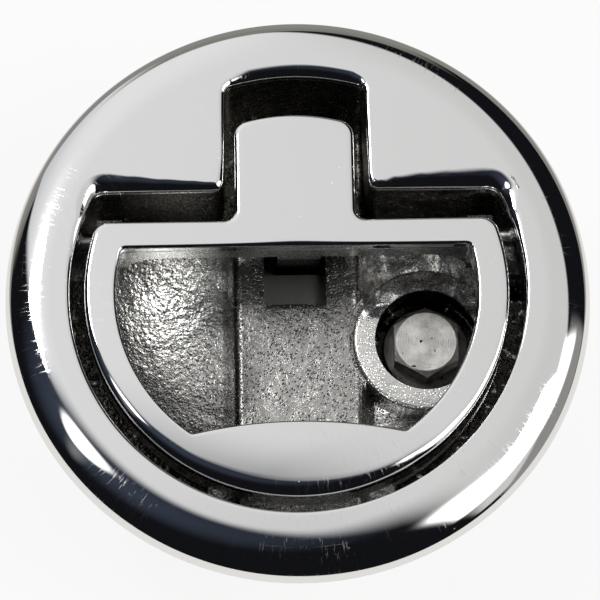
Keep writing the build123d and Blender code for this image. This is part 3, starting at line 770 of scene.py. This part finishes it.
@dataclass
class PolishedTop:
    """What the two polished tops share: the face, the height where the skin ends and how finely it is drawn."""

    face_z: float = 4.5
    cut_z: float = 3.0
    sink: float = 0.2
    spare: float = 0.02
    lip: float = 0.08
    step: float = 0.17

    def edge_rings(
        self, line: np.ndarray, over: np.ndarray, wide: np.ndarray, high: np.ndarray, turns: Turns, lip: float
    ) -> list[np.ndarray]:
        """Rings from a hidden lip up a rounded edge to the flat face.

        At turn a, a ring stands wide (1 - sin a) over from the line and high (1 - cos a) below the face.

        Args:
            line: the (n, 2) edge.
            over: its unit normals towards the face.
            wide: the rounding's width at each point.
            high: its height at each point.
            turns: the angles of the rings, in degrees.
            lip: how far over the lowest ring stands.

        Returns:
            The (n, 3) rings.
        """
        rings = [ring(line + over * lip, self.cut_z - self.sink), ring(line, self.cut_z)]
        for a in np.radians(turns):
            rings.append(ring(line + over * (wide * (1 - np.sin(a)))[:, None], self.face_z - high * (1 - np.cos(a))))
        return rings


@dataclass
class Faceplate(PolishedTop):
    """The polished front of the casting: flat face, rounded rim and the break round the mouth."""

    cut_z: float = 2.9
    rim_r: float = 42.5
    rim_top_z: float = 0.6
    rim_inset: float = 0.5
    drop_rim_r: float = 41.3
    back_z: float = 0.3
    land: float = 0.6
    mouth_r: float = 33.0
    island_y: float = 15.4
    slot_half_w: float = 10.6
    slot_top_half_w: float = 10.15
    slot_corner: float = 1.5
    mouth_corner: float = 2.0
    turns: Turns = (88, 80, 70, 60, 50, 41, 32, 24, 17, 10, 5, 0)
    flat_rings: int = 12
    round_rings: int = 44
    crown_r: Table = ((270, 35.8), (292, 34.9), (312, 34.7), (330, 35.0), (350, 35.7), (180, 35.9))
    break_w: Table = (
        *((270, 0.45), (300, 0.25), (340, 0.25), (350, 0.4), (0, 0.6), (10, 0.8), (20, 1.5), (26, 2.9)),
        *((30, 3.4), (35, 3.0), (40, 2.6), (47, 2.0), (51, 1.4), (56, 1.2), (60, 0.65), (70, 0.8), (76, 2.0)),
        *((88, 2.1), (101, 2.0), (109, 0.9), (116, 0.6), (124, 1.2), (130, 1.4), (135, 1.65), (142, 2.0)),
        *((147.5, 2.6), (151, 3.1), (155, 2.3), (161, 1.2), (170, 0.9), (180, 0.7), (215, 0.7), (235, 0.55)),
    )

    def mouth_line(self) -> np.ndarray:
        """The mouth: the recess circle and the T-slot between the two islands, rounded at each corner.

        The slot's sides lean by a small angle. The corner under the rim lies where its centre is both k inside
        the side, x = half width - slope (y - island y) - k / cos(lean), and k inside the circle.

        Returns:
            An (n, 2) array.
        """
        r, c, k = self.mouth_r, self.mouth_corner, self.slot_corner
        low = self.island_y - c
        cx = sqrt((r - c) ** 2 - low**2)
        side = np.degrees(np.arctan2(low, cx))
        lean = np.degrees(np.arctan2(self.slot_half_w - self.slot_top_half_w, r - self.island_y))
        inner_x = self.slot_half_w + k * tan(radians((90 - lean) / 2))
        ys = np.linspace(self.island_y, r, 4000)
        xs = self.slot_half_w - tan(radians(lean)) * (ys - self.island_y) - k / cos(radians(lean))
        at = int(np.argmin(np.abs(np.hypot(xs, ys) - (r - k))))
        top = np.degrees(np.arctan2(ys[at], xs[at]))
        right = [
            Arc(0, 0, r, -90, side),
            Arc(cx, low, c, side, 90),
            Arc(inner_x, self.island_y + k, k, 270, 180 + lean),
            Arc(xs[at], ys[at], k, lean, top),
            Arc(0, 0, r, top, 90),
        ]
        return closed_line(right + mirrored(right), self.step)

    def height(self, t: float) -> float:
        """Height of the rounding at a share t of its width: a quarter of a superellipse down to the rim's land."""
        foot = self.back_z + self.land
        return foot + (self.face_z - foot) * (1 - t**2.1) ** (1 / 2.05)

    def rings(self) -> np.ndarray:
        """All rings, from the lip in the mouth over the break and the face to the back of the rim.

        Outside the break a ring's points lie on spokes: (1 - t) edge + t crown on the face, then
        crown + t (rim - crown) down the rounding, with t as the sine of even steps.

        Returns:
            An (m, n, 3) array.
        """
        line = self.mouth_line()
        out = left_normals(line)
        wide = round_table(line, self.break_w)
        high = np.clip(0.5 * wide + 0.2, 0.25, self.face_z - self.cut_z - self.spare)
        rings = self.edge_rings(line, out, wide, high, self.turns, self.lip)
        edge = line + out * wide[:, None]
        angle = np.arctan2(edge[:, 1], edge[:, 0])
        spoke = np.stack([np.cos(angle), np.sin(angle)], 1)
        crown = round_table(edge, self.crown_r)[:, None]
        for t in np.linspace(0, 1, self.flat_rings)[1:]:
            rings.append(ring(edge * (1 - t) + spoke * crown * t, self.face_z))
        for t in np.sin(np.linspace(0, np.pi / 2, self.round_rings)[1:]):
            rings.append(ring(spoke * (crown + (self.rim_r - crown) * t), self.height(t)))
        heights = (self.rim_top_z, self.back_z + 0.04, self.back_z, self.back_z)
        for inset, z in zip((0.0, 0.0, 0.06, self.rim_inset), heights):
            rings.append(ring(spoke * (self.rim_r - inset), z))
        return np.array(rings)

    def build(self, polish: bpy.types.Material, cast: bpy.types.Material) -> list[bpy.types.Object]:
        """Makes the skin and the cup under it, and lets them stand for the CAD casting.

        Args:
            polish: the skin's material.
            cast: the cup's material.

        Returns:
            The skin and the cup.
        """
        skin = grid_mesh("faceplate_skin", self.rings()[::-1])
        skin.data.materials.append(polish)
        cup = below("housing", "cup_casting", self.cut_z, drop_rim=self.drop_rim_r)
        cup.data.materials.append(cast)
        for piece in (skin, cup):
            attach(piece, "casing")
            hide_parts("housing")
            LOG.info("%s: %d faces", piece.name, len(piece.data.polygons))
        return [skin, cup]


@dataclass
class PullHandle(PolishedTop):
    """The polished top of the D-ring and stem, over the cast ears and finger."""

    side: float = -0.2
    outer_r: float = 30.9
    window_r: float = 26.2
    bar_low: float = 6.6
    bar_high: float = 10.8
    bar_corner: float = 2.6
    stem_half_w: float = 8.9
    stem_r: float = 27.1
    stem_corner: float = 2.6
    stem_root: float = 1.5
    tab_edge: float = -19.6
    tab_corner: float = -21.3
    window_corner: float = 0.8
    pillow_r: float = 22.0
    pillow_w: float = 8.9
    turns: Turns = (88, 78, 66, 54, 42, 32, 23, 15, 8, 0)
    top_rings: int = 14
    edge_w: Table = (
        *((270, 2.4), (250, 2.4), (235, 2.1), (218, 1.7), (200, 1.3), (188, 1.0), (172, 0.9), (90, 0.9)),
        *((0, 0.8), (330, 1.0), (315, 1.4), (300, 1.9)),
    )
    window_w: Table = ((270, 0.5), (180, 0.45), (90, 0.8), (0, 0.45))
    pillow: Table = (
        *((150, 0.0), (195, 0.14), (235, 0.2), (270, 0.22), (300, 0.16), (325, 0.05), (350, 0.08), (20, 0.0)),
    )

    def outer_line(self) -> np.ndarray:
        """The outside: ring, bar ends, stem roots and stem end, as tangent arcs.

        Returns:
            An (n, 2) array.
        """
        r, c = self.outer_r, self.bar_corner
        cx = sqrt((r - c) ** 2 - (self.bar_high - c) ** 2)
        turn = np.degrees(np.arctan2(self.bar_high - c, cx))
        k, s = self.stem_root, self.stem_corner
        sx = self.stem_half_w - s
        sy = sqrt((self.stem_r - s) ** 2 - sx**2)
        end = np.degrees(np.arctan2(sy, sx))
        right = [
            Arc(0, 0, r, -90, turn),
            Arc(cx, self.bar_high - c, c, turn, 90),
            Arc(self.stem_half_w + k, self.bar_high + k, k, 270, 180),
            Arc(sx, sy, s, 0, end),
            Arc(0, 0, self.stem_r, end, 90),
        ]
        return closed_line(right + mirrored(right), self.step)

    def window_line(self) -> np.ndarray:
        """The finger window: ring arc, bar edge and the bowed edge of the thumb tab, as tangent arcs.

        The corner at the tab has its centre r - k from the origin and bow + k from the bow's centre.

        Returns:
            An (n, 2) array.
        """
        r, k = self.window_r, self.window_corner
        half = sqrt(r**2 - self.tab_corner**2)
        sag = self.tab_edge - self.tab_corner
        bow = (half**2 + sag**2) / (2 * sag)
        bow_y = self.tab_edge - bow
        y = ((r - k) ** 2 - (bow + k) ** 2 + bow_y**2) / (2 * bow_y)
        x = sqrt((r - k) ** 2 - y**2)
        tab_turn = np.degrees(np.arctan2(y, x))
        bow_turn = np.degrees(np.arctan2(y - bow_y, x))
        bx = sqrt((r - k) ** 2 - (self.bar_low - k) ** 2)
        bar_turn = np.degrees(np.arctan2(self.bar_low - k, bx))
        right = [
            Arc(0, bow_y, bow, 90, bow_turn),
            Arc(x, y, k, bow_turn - 180, tab_turn),
            Arc(0, 0, r, tab_turn, bar_turn),
            Arc(bx, self.bar_low - k, k, bar_turn, 90),
        ]
        return closed_line(right + mirrored(right), self.step)

    def rings(self) -> np.ndarray:
        """Rings from the window's lip over the top to the outer lip, with the window's on the outer line's spokes.

        Between the two edges a ring is (1 - t) inner + t outer. The ring's outer part then sinks by
        pillow ((radius - pillow r) / pillow width) squared.

        Returns:
            An (m, n, 3) array.
        """
        outer, window = self.outer_line(), self.window_line()
        wide = round_table(outer, self.edge_w)
        high = np.clip(0.8 * wide, 0.5, self.face_z - self.cut_z - self.spare)
        thin = round_table(window, self.window_w)
        outside = np.array(self.edge_rings(outer, -left_normals(outer), wide, high, self.turns, self.lip))
        inside = np.array(self.edge_rings(window, left_normals(window), thin, thin, self.turns, -self.lip))
        inside = self.matched(inside, outside[-1])
        shares = np.linspace(0, 1, self.top_rings)[1:-1]
        across = [inside[-1] * (1 - t) + outside[-1] * t for t in shares]
        rings = np.concatenate([inside, across, outside[::-1]])
        radius = np.hypot(rings[..., 0], rings[..., 1])
        drop = round_table(rings[..., :2].reshape(-1, 2), self.pillow).reshape(radius.shape)
        rings[..., 2] -= drop * np.clip((radius - self.pillow_r) / self.pillow_w, 0, 1) ** 2
        return rings + np.array([self.side, 0, 0])

    def matched(self, rings: np.ndarray, target: np.ndarray) -> np.ndarray:
        """The window's rings resampled so that each point lies on the spoke of the outer line's point.

        Args:
            rings: an (m, k, 3) array of rings round the window.
            target: the (n, 3) ring whose polar angles are wanted.

        Returns:
            An (m, n, 3) array.
        """
        base = np.unwrap(np.arctan2(rings[-1][:, 1], rings[-1][:, 0]))
        want = np.unwrap(np.arctan2(target[:, 1], target[:, 0]))
        count = len(base)
        share = np.arange(count)
        loop = np.concatenate([base - 2 * np.pi, base, base + 2 * np.pi])
        index = np.concatenate([share - count, share, share + count])
        order = np.argsort(loop)
        at = np.interp(want, loop[order], index[order]) % count
        low = np.floor(at).astype(int) % count
        t = (at - np.floor(at))[None, :, None]
        return rings[:, low] * (1 - t) + rings[:, (low + 1) % count] * t

    def build(self, polish: bpy.types.Material, cast: bpy.types.Material) -> list[bpy.types.Object]:
        """Makes the polished top and the cast part under it, and lets them stand for the CAD handle.

        Args:
            polish: the top's material.
            cast: the cast part's material.

        Returns:
            The top and the cast part.
        """
        skin = grid_mesh("handle_skin", self.rings()[::-1])
        skin.data.materials.append(polish)
        under = below("pull_handle", "handle_casting", self.cut_z)
        under.data.materials.append(cast)
        for piece in (skin, under):
            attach(piece, "handle")
            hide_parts("pull_handle")
            LOG.info("%s: %d faces", piece.name, len(piece.data.polygons))
        return [skin, under]


@dataclass
class CadPieces:
    """The CAD nodes that keep their own shape and get a finish."""

    finishes: dict[str, Finish] = field(
        default_factory=lambda: {
            "mounting_bolt": TurnedSteel("bolt_head_steel", (0.88, 0.855, 0.815), 0.42, at=BOLT_AT),
            # painted shade: the washer under the bolt head is steel darkened to near black
            "flat_washer": TurnedSteel("washer_steel", (0.12, 0.117, 0.11), 0.4, at=BOLT_AT, ring_scale=1400.0),
            # painted shade: the slide seen through the hole in the tunnel top is darkened steel
            "latch_bolt": SheetSteel("slide_steel", (0.17, 0.167, 0.16), 0.42),
            "hinge_pin": SheetSteel("pin_steel", (0.66, 0.65, 0.63), 0.26),
            "back_cover": SheetSteel("cover_sheet", (0.64, 0.64, 0.63), 0.36),
            "mounting_bracket": SheetSteel("bracket_sheet", (0.60, 0.60, 0.59), 0.4),
            "bracket_nut": TurnedSteel("nut_steel", (0.60, 0.585, 0.56), 0.32, at=BOLT_AT, ring_scale=1500.0),
            "handle_spring": Finish("handle_spring_wire", (0.55, 0.55, 0.54), 0.28),
            "bolt_spring": Finish("bolt_spring_wire", (0.55, 0.55, 0.54), 0.28),
            "flange_gasket": Rubber("gasket_rubber", (0.025, 0.025, 0.026), 0.7),
        }
    )
    screw_x: float = 11.4
    screw_y: float = 24.5
    screw_tone: Triple = (0.58, 0.57, 0.55)

    def build(self, shared: Groups) -> None:
        """Gives each node its material.

        Args:
            shared: the node groups, by name.
        """
        finishes = dict(self.finishes)
        corners = [(-1, 1), (1, 1), (-1, -1), (1, -1)]
        for number, (sx, sy) in enumerate(corners, 1):
            at = (sx * self.screw_x, sy * self.screw_y)
            steel = TurnedSteel(f"screw_steel_{number}", self.screw_tone, 0.3, at=at, ring_scale=1800.0)
            finishes[f"cover_screw_{number}"] = steel
        for node, finish in finishes.items():
            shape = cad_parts[node]
            shape.data.materials.clear()
            shape.data.materials.append(finish.build(shared))
            LOG.info("%s: %s", node, finish.name)


# ---- stage


@dataclass(frozen=True)
class Edge:
    """A soft straight edge in the sky plane: bright where a x + b y > c, in degrees from straight up."""

    a: float
    b: float
    c: float
    soft: float


@dataclass(frozen=True)
class Spot:
    """A soft ellipse in the sky plane: centre, turn of its long axis, half length, half width and full share."""

    x: float
    y: float
    turn: float
    half_l: float
    half_w: float
    core: float = 0.0


@dataclass
class Dome:
    """The sky's plane: a direction lands at (angle from straight up, in degrees) times its level unit vector."""

    n: Nodes
    x: Socket | None = None
    y: Socket | None = None
    zenith: Socket | None = None

    def __post_init__(self) -> None:
        """Works out the plane's X and Y and the angle from straight up."""
        n = self.n
        dx, dy, dz = n.axes(n.add("ShaderNodeTexCoord").outputs["Generated"])
        self.zenith = n.math("MULTIPLY", n.math("ARCCOSINE", dz), DEGREES)
        reach = n.math("DIVIDE", self.zenith, n.math("MAXIMUM", n.hypot(dx, dy), 0.00001))
        self.x, self.y = n.math("MULTIPLY", dx, reach), n.math("MULTIPLY", dy, reach)

    def edge(self, edge: Edge) -> Socket:
        """The mask of one soft edge.

        Args:
            edge: the edge.

        Returns:
            The mask.
        """
        n, size = self.n, sqrt(edge.a**2 + edge.b**2)
        across = n.math("MULTIPLY_ADD", self.x, edge.a / size, n.math("MULTIPLY", self.y, edge.b / size))
        return n.steps(across, edge.c / size - edge.soft, edge.c / size + edge.soft)

    def inside(self, edges: tuple[Edge, ...]) -> Socket:
        """The mask of the area on the bright side of every edge."""
        return self.n.product(*(self.edge(edge) for edge in edges))

    def spot(self, spot: Spot) -> Socket:
        """The mask of a soft ellipse.

        Args:
            spot: the ellipse.

        Returns:
            The mask.
        """
        n = self.n
        c, s = cos(radians(spot.turn)), sin(radians(spot.turn))
        dx, dy = n.math("SUBTRACT", self.x, spot.x), n.math("SUBTRACT", self.y, spot.y)
        along = n.math("MULTIPLY_ADD", dx, c / spot.half_l, n.math("MULTIPLY", dy, s / spot.half_l))
        over = n.math("MULTIPLY_ADD", dx, -s / spot.half_w, n.math("MULTIPLY", dy, c / spot.half_w))
        return n.steps(n.hypot(along, over), spot.core, 1.0, 1.0, 0.0)


@dataclass
class Sky:
    """The surroundings as the part's mirrors see them. A band holds its start, its end and the values there."""

    dark: Triple = (0.006, 0.0063, 0.0078)
    navy: Triple = (0.036, 0.045, 0.066)
    lamp: Triple = (2.6, 2.6, 2.57)
    haze: Triple = (0.27, 0.265, 0.255)
    horizon: Triple = (0.215, 0.207, 0.185)
    wall_left: Triple = (0.60, 0.607, 0.625)
    wall_middle: Triple = (0.79, 0.79, 0.797)
    wall_right: Triple = (0.61, 0.608, 0.60)
    glare: Triple = (1.08, 1.08, 1.08)
    navy_spot: Spot = Spot(-24.0, 0.0, 10.0, 46.0, 26.0, 0.1)
    glare_spot: Spot = Spot(-22.0, 20.0, 118.0, 21.0, 11.0)
    left_lamp: Spot = Spot(-23.0, 0.9, 29.0, 12.5, 4.8, 0.5)
    left_tail: Spot = Spot(-38.0, -9.5, 33.0, 22.0, 4.0)
    tail_share: float = 0.06
    wall_sides: tuple[Edge, ...] = (
        Edge(-2.0, -1.0, -90.0, 1.6),
        Edge(-1.0, -1.0, -72.5, 2.2),
        Edge(24.0, 13.0, -786.0, 1.6),
        Edge(18.0, 23.0, -140.0, 2.4),
    )
    wall_foot: tuple[Edge, Edge] = (Edge(0.0, 1.0, 11.0, 4.5), Edge(12.0, 11.0, 120.0, 5.0))
    wall_top: Band = (73.0, 79.0, 1.0, 0.0)
    wall_top_x: Band = (-44.0, -26.0, 1.0, 0.0)
    wall_left_x: Band = (-60.0, -26.0, 0.0, 1.0)
    wall_right_x: Band = (-16.0, 17.0, 0.0, 1.0)
    horizon_zenith: Band = (74.0, 80.0, 0.0, 1.0)
    horizon_x: Band = (24.0, 38.0, 1.0, 0.0)
    horizon_y: Band = (30.0, 50.0, 0.0, 1.0)
    right_lamp: tuple[Edge, ...] = (
        Edge(24.0, 23.0, 60.0, 3.0),
        Edge(0.0, -1.0, 3.0, 3.0),
        Edge(1.0, 0.0, 16.0, 4.0),
        Edge(-2.0, 1.0, -113.0, 3.5),
    )
    side_lamp: tuple[Edge, ...] = (
        Edge(1.0, 0.0, 36.0, 3.0),
        Edge(0.0, -1.0, -11.0, 2.5),
        Edge(0.0, 1.0, -14.0, 3.0),
        Edge(-2.0, 1.0, -113.0, 5.0),
    )
    right_haze: tuple[Edge, ...] = (
        Edge(1.0, 0.0, 44.0, 4.0),
        Edge(-1.0, 0.0, -88.0, 3.0),
        Edge(0.0, -1.0, -13.0, 3.0),
        Edge(0.7, 1.0, 3.0, 3.0),
    )

    def build(self) -> None:
        """Makes the world: dark sky, haze and horizon at the right, the pale wall and the lamps over them."""
        world = bpy.data.worlds.new("studio")
        bpy.context.scene.world = world
        world.use_nodes = True
        n = Nodes(world.node_tree)
        dome = Dome(n)
        sky = n.mix(dome.spot(self.navy_spot), (*self.dark, 1), (*self.navy, 1))
        sky = n.mix(dome.inside(self.right_haze), sky, (*self.haze, 1))
        bands = ((dome.zenith, self.horizon_zenith), (dome.x, self.horizon_x), (dome.y, self.horizon_y))
        sky = n.mix(n.product(*(n.steps(value, *band) for value, band in bands)), sky, (*self.horizon, 1))
        foot = n.most(*(dome.edge(edge) for edge in self.wall_foot))
        top = n.most(n.steps(dome.zenith, *self.wall_top), n.steps(dome.x, *self.wall_top_x))
        sky = n.mix(n.product(dome.inside(self.wall_sides), foot, top), sky, self.wall(dome))
        left = n.most(dome.spot(self.left_lamp), n.math("MULTIPLY", dome.spot(self.left_tail), self.tail_share))
        right = n.most(dome.inside(self.right_lamp), dome.inside(self.side_lamp))
        lamps = n.most(left, n.product(right, right))
        background = world.node_tree.nodes["Background"]
        n.put(background.inputs["Color"], n.mix(lamps, sky, (*self.lamp, 1)))
        background.inputs["Strength"].default_value = 1.0

    def wall(self, dome: Dome) -> Socket:
        """The wall's tone: greyer at both ends, with a glare.

        Args:
            dome: the sky's plane.

        Returns:
            The colour.
        """
        n = dome.n
        tone = n.mix(n.steps(dome.x, *self.wall_left_x), (*self.wall_left, 1), (*self.wall_middle, 1))
        tone = n.mix(n.steps(dome.x, *self.wall_right_x), tone, (*self.wall_right, 1))
        return n.mix(dome.spot(self.glare_spot), tone, (*self.glare, 1))


@dataclass(frozen=True)
class Floor:
    """A plain pale floor: white to the camera, cream beside the part and, as painted shade, grey behind it in the
    metal.
    """

    z: float
    half: float = 3.0
    paint: Triple = (0.86, 0.85, 0.83)
    near: Triple = (0.80, 0.79, 0.76)
    # painted shade: the floor's glow behind the part, as mirrors see it
    far_shade: Triple = (0.205, 0.198, 0.18)
    far_y: tuple[float, float] = (0.03, 0.09)
    roughness: float = 0.9
    glow: float = 0.9

    def material(self) -> bpy.types.Material:
        """Diffuse paint under a glow that the camera, gloss and transmission see.

        Returns:
            The material.
        """
        material = bpy.data.materials.new("pale_floor")
        material.use_nodes = True
        n = Nodes(material.node_tree)
        shader = material.node_tree.nodes["Principled BSDF"]
        shader.inputs["Base Color"].default_value = (*self.paint, 1)
        shader.inputs["Roughness"].default_value = self.roughness
        y = n.axes(n.add("ShaderNodeTexCoord").outputs["Object"])[1]
        path = n.add("ShaderNodeLightPath")
        # painted shade: the glow turns grey behind the part, where its shadow falls
        tone = n.mix(n.steps(y, *self.far_y), (*self.near, 1), (*self.far_shade, 1))
        tone = n.mix(path.outputs["Is Camera Ray"], tone, (1, 1, 1, 1))
        glow = n.add("ShaderNodeEmission", Strength=1.0, Color=tone)
        seen = n.math("ADD", path.outputs["Is Camera Ray"], path.outputs["Is Glossy Ray"])
        seen = n.math("MINIMUM", n.math("ADD", seen, path.outputs["Is Transmission Ray"]), 1.0)
        share = n.math("MULTIPLY", seen, self.glow)
        mixed = n.add("ShaderNodeMixShader")
        for socket, value in zip(mixed.inputs, (share, shader.outputs[0], glow.outputs[0])):
            n.put(socket, value)
        n.put(material.node_tree.nodes["Material Output"].inputs["Surface"], mixed.outputs[0])
        return material

    def build(self) -> None:
        half, z = self.half, self.z
        mesh = bpy.data.meshes.new("floor")
        mesh.from_pydata([(-half, -half, z), (half, -half, z), (half, half, z), (-half, half, z)], [], [(0, 1, 2, 3)])
        obj = linked("floor", mesh)
        mesh.materials.append(self.material())


@dataclass(frozen=True)
class Lamp:
    """A square area lamp that faces the part and that the camera doesn't see, in metres and watts."""

    name: str
    centre: Triple
    size: float
    watts: float

    def build(self) -> None:
        """Makes the lamp."""
        data = bpy.data.lights.new(self.name, "AREA")
        data.size = self.size
        data.energy = self.watts
        obj = linked(self.name, data)
        obj.location = self.centre
        obj.rotation_mode = "QUATERNION"
        obj.rotation_quaternion = Vector(self.centre).to_track_quat("Z", "Y")
        obj.visible_camera = False


@dataclass
class Stage:
    """Floor, surroundings, lamps and camera, in metres and degrees."""

    floor_z: float = CAD_BOX[0].z
    aim: Triple = (0.0, 0.0, 0.0015)
    distance: float = 0.5
    elevation: float = 72.4
    azimuth: float = -3.2
    roll: float = -2.2
    view_width: float = 0.08721
    sensor: float = 36.0
    shift: tuple[float, float] = (0.00333, -0.00767)
    lamps: tuple[Lamp, ...] = (
        Lamp("key", (-0.45, 0.35, 0.95), 0.25, 3.0),
        Lamp("fill", (0.6, -0.1, 0.85), 0.35, 2.0),
    )

    def camera(self) -> None:
        """The camera: looks down at the front from 72 degrees, with a slight turn and roll."""
        lens = bpy.data.cameras.new("view")
        lens.sensor_width = self.sensor
        lens.lens = self.sensor * self.distance / self.view_width
        lens.shift_x, lens.shift_y = self.shift
        obj = linked("view", lens)
        e = radians(self.elevation)
        back = Matrix.Rotation(radians(self.azimuth), 3, "Z") @ Vector((0, -cos(e), sin(e)))
        turn = (-back).to_track_quat("-Z", "Y").to_matrix().to_4x4() @ Matrix.Rotation(-radians(self.roll), 4, "Z")
        obj.matrix_world = Matrix.Translation(Vector(self.aim) + back * self.distance) @ turn
        lens.clip_start, lens.clip_end = 0.05, 20
        bpy.context.scene.camera = obj

    def build(self) -> None:
        """Sets the whole stage."""
        Floor(self.floor_z).build()
        Sky().build()
        for lamp in self.lamps:
            lamp.build()
        self.camera()
        bpy.context.scene.view_settings.view_transform = "Standard"


def main() -> None:
    """Builds every sub-assembly in order, then the stage."""
    logging.basicConfig(level=logging.INFO, format="%(message)s")
    shared = {"scratches": scratches_group(), "cast": cast_group()}
    polish = MirrorPolish("mirror_polish", (0.93, 0.93, 0.93), 0.035).build(shared)
    # painted shade in the cup above a height and in its gaps, painted highlights on its boss, lumps and bowl
    cup = CastSkin("cast_cup", (0.52, 0.512, 0.495), 0.27, depth=0.2, shade_above=-4.2)
    # painted shade on the handle's cast part below a height
    under = CastSkin("cast_handle", (0.78, 0.775, 0.76), 0.26, depth=0.03, left_of=-99.0, shade_below=-4.0)
    Faceplate().build(polish, cup.build(shared))
    PullHandle().build(polish, under.build(shared))
    CadPieces().build(shared)
    Stage().build()


if __name__ == "__main__":
    main()
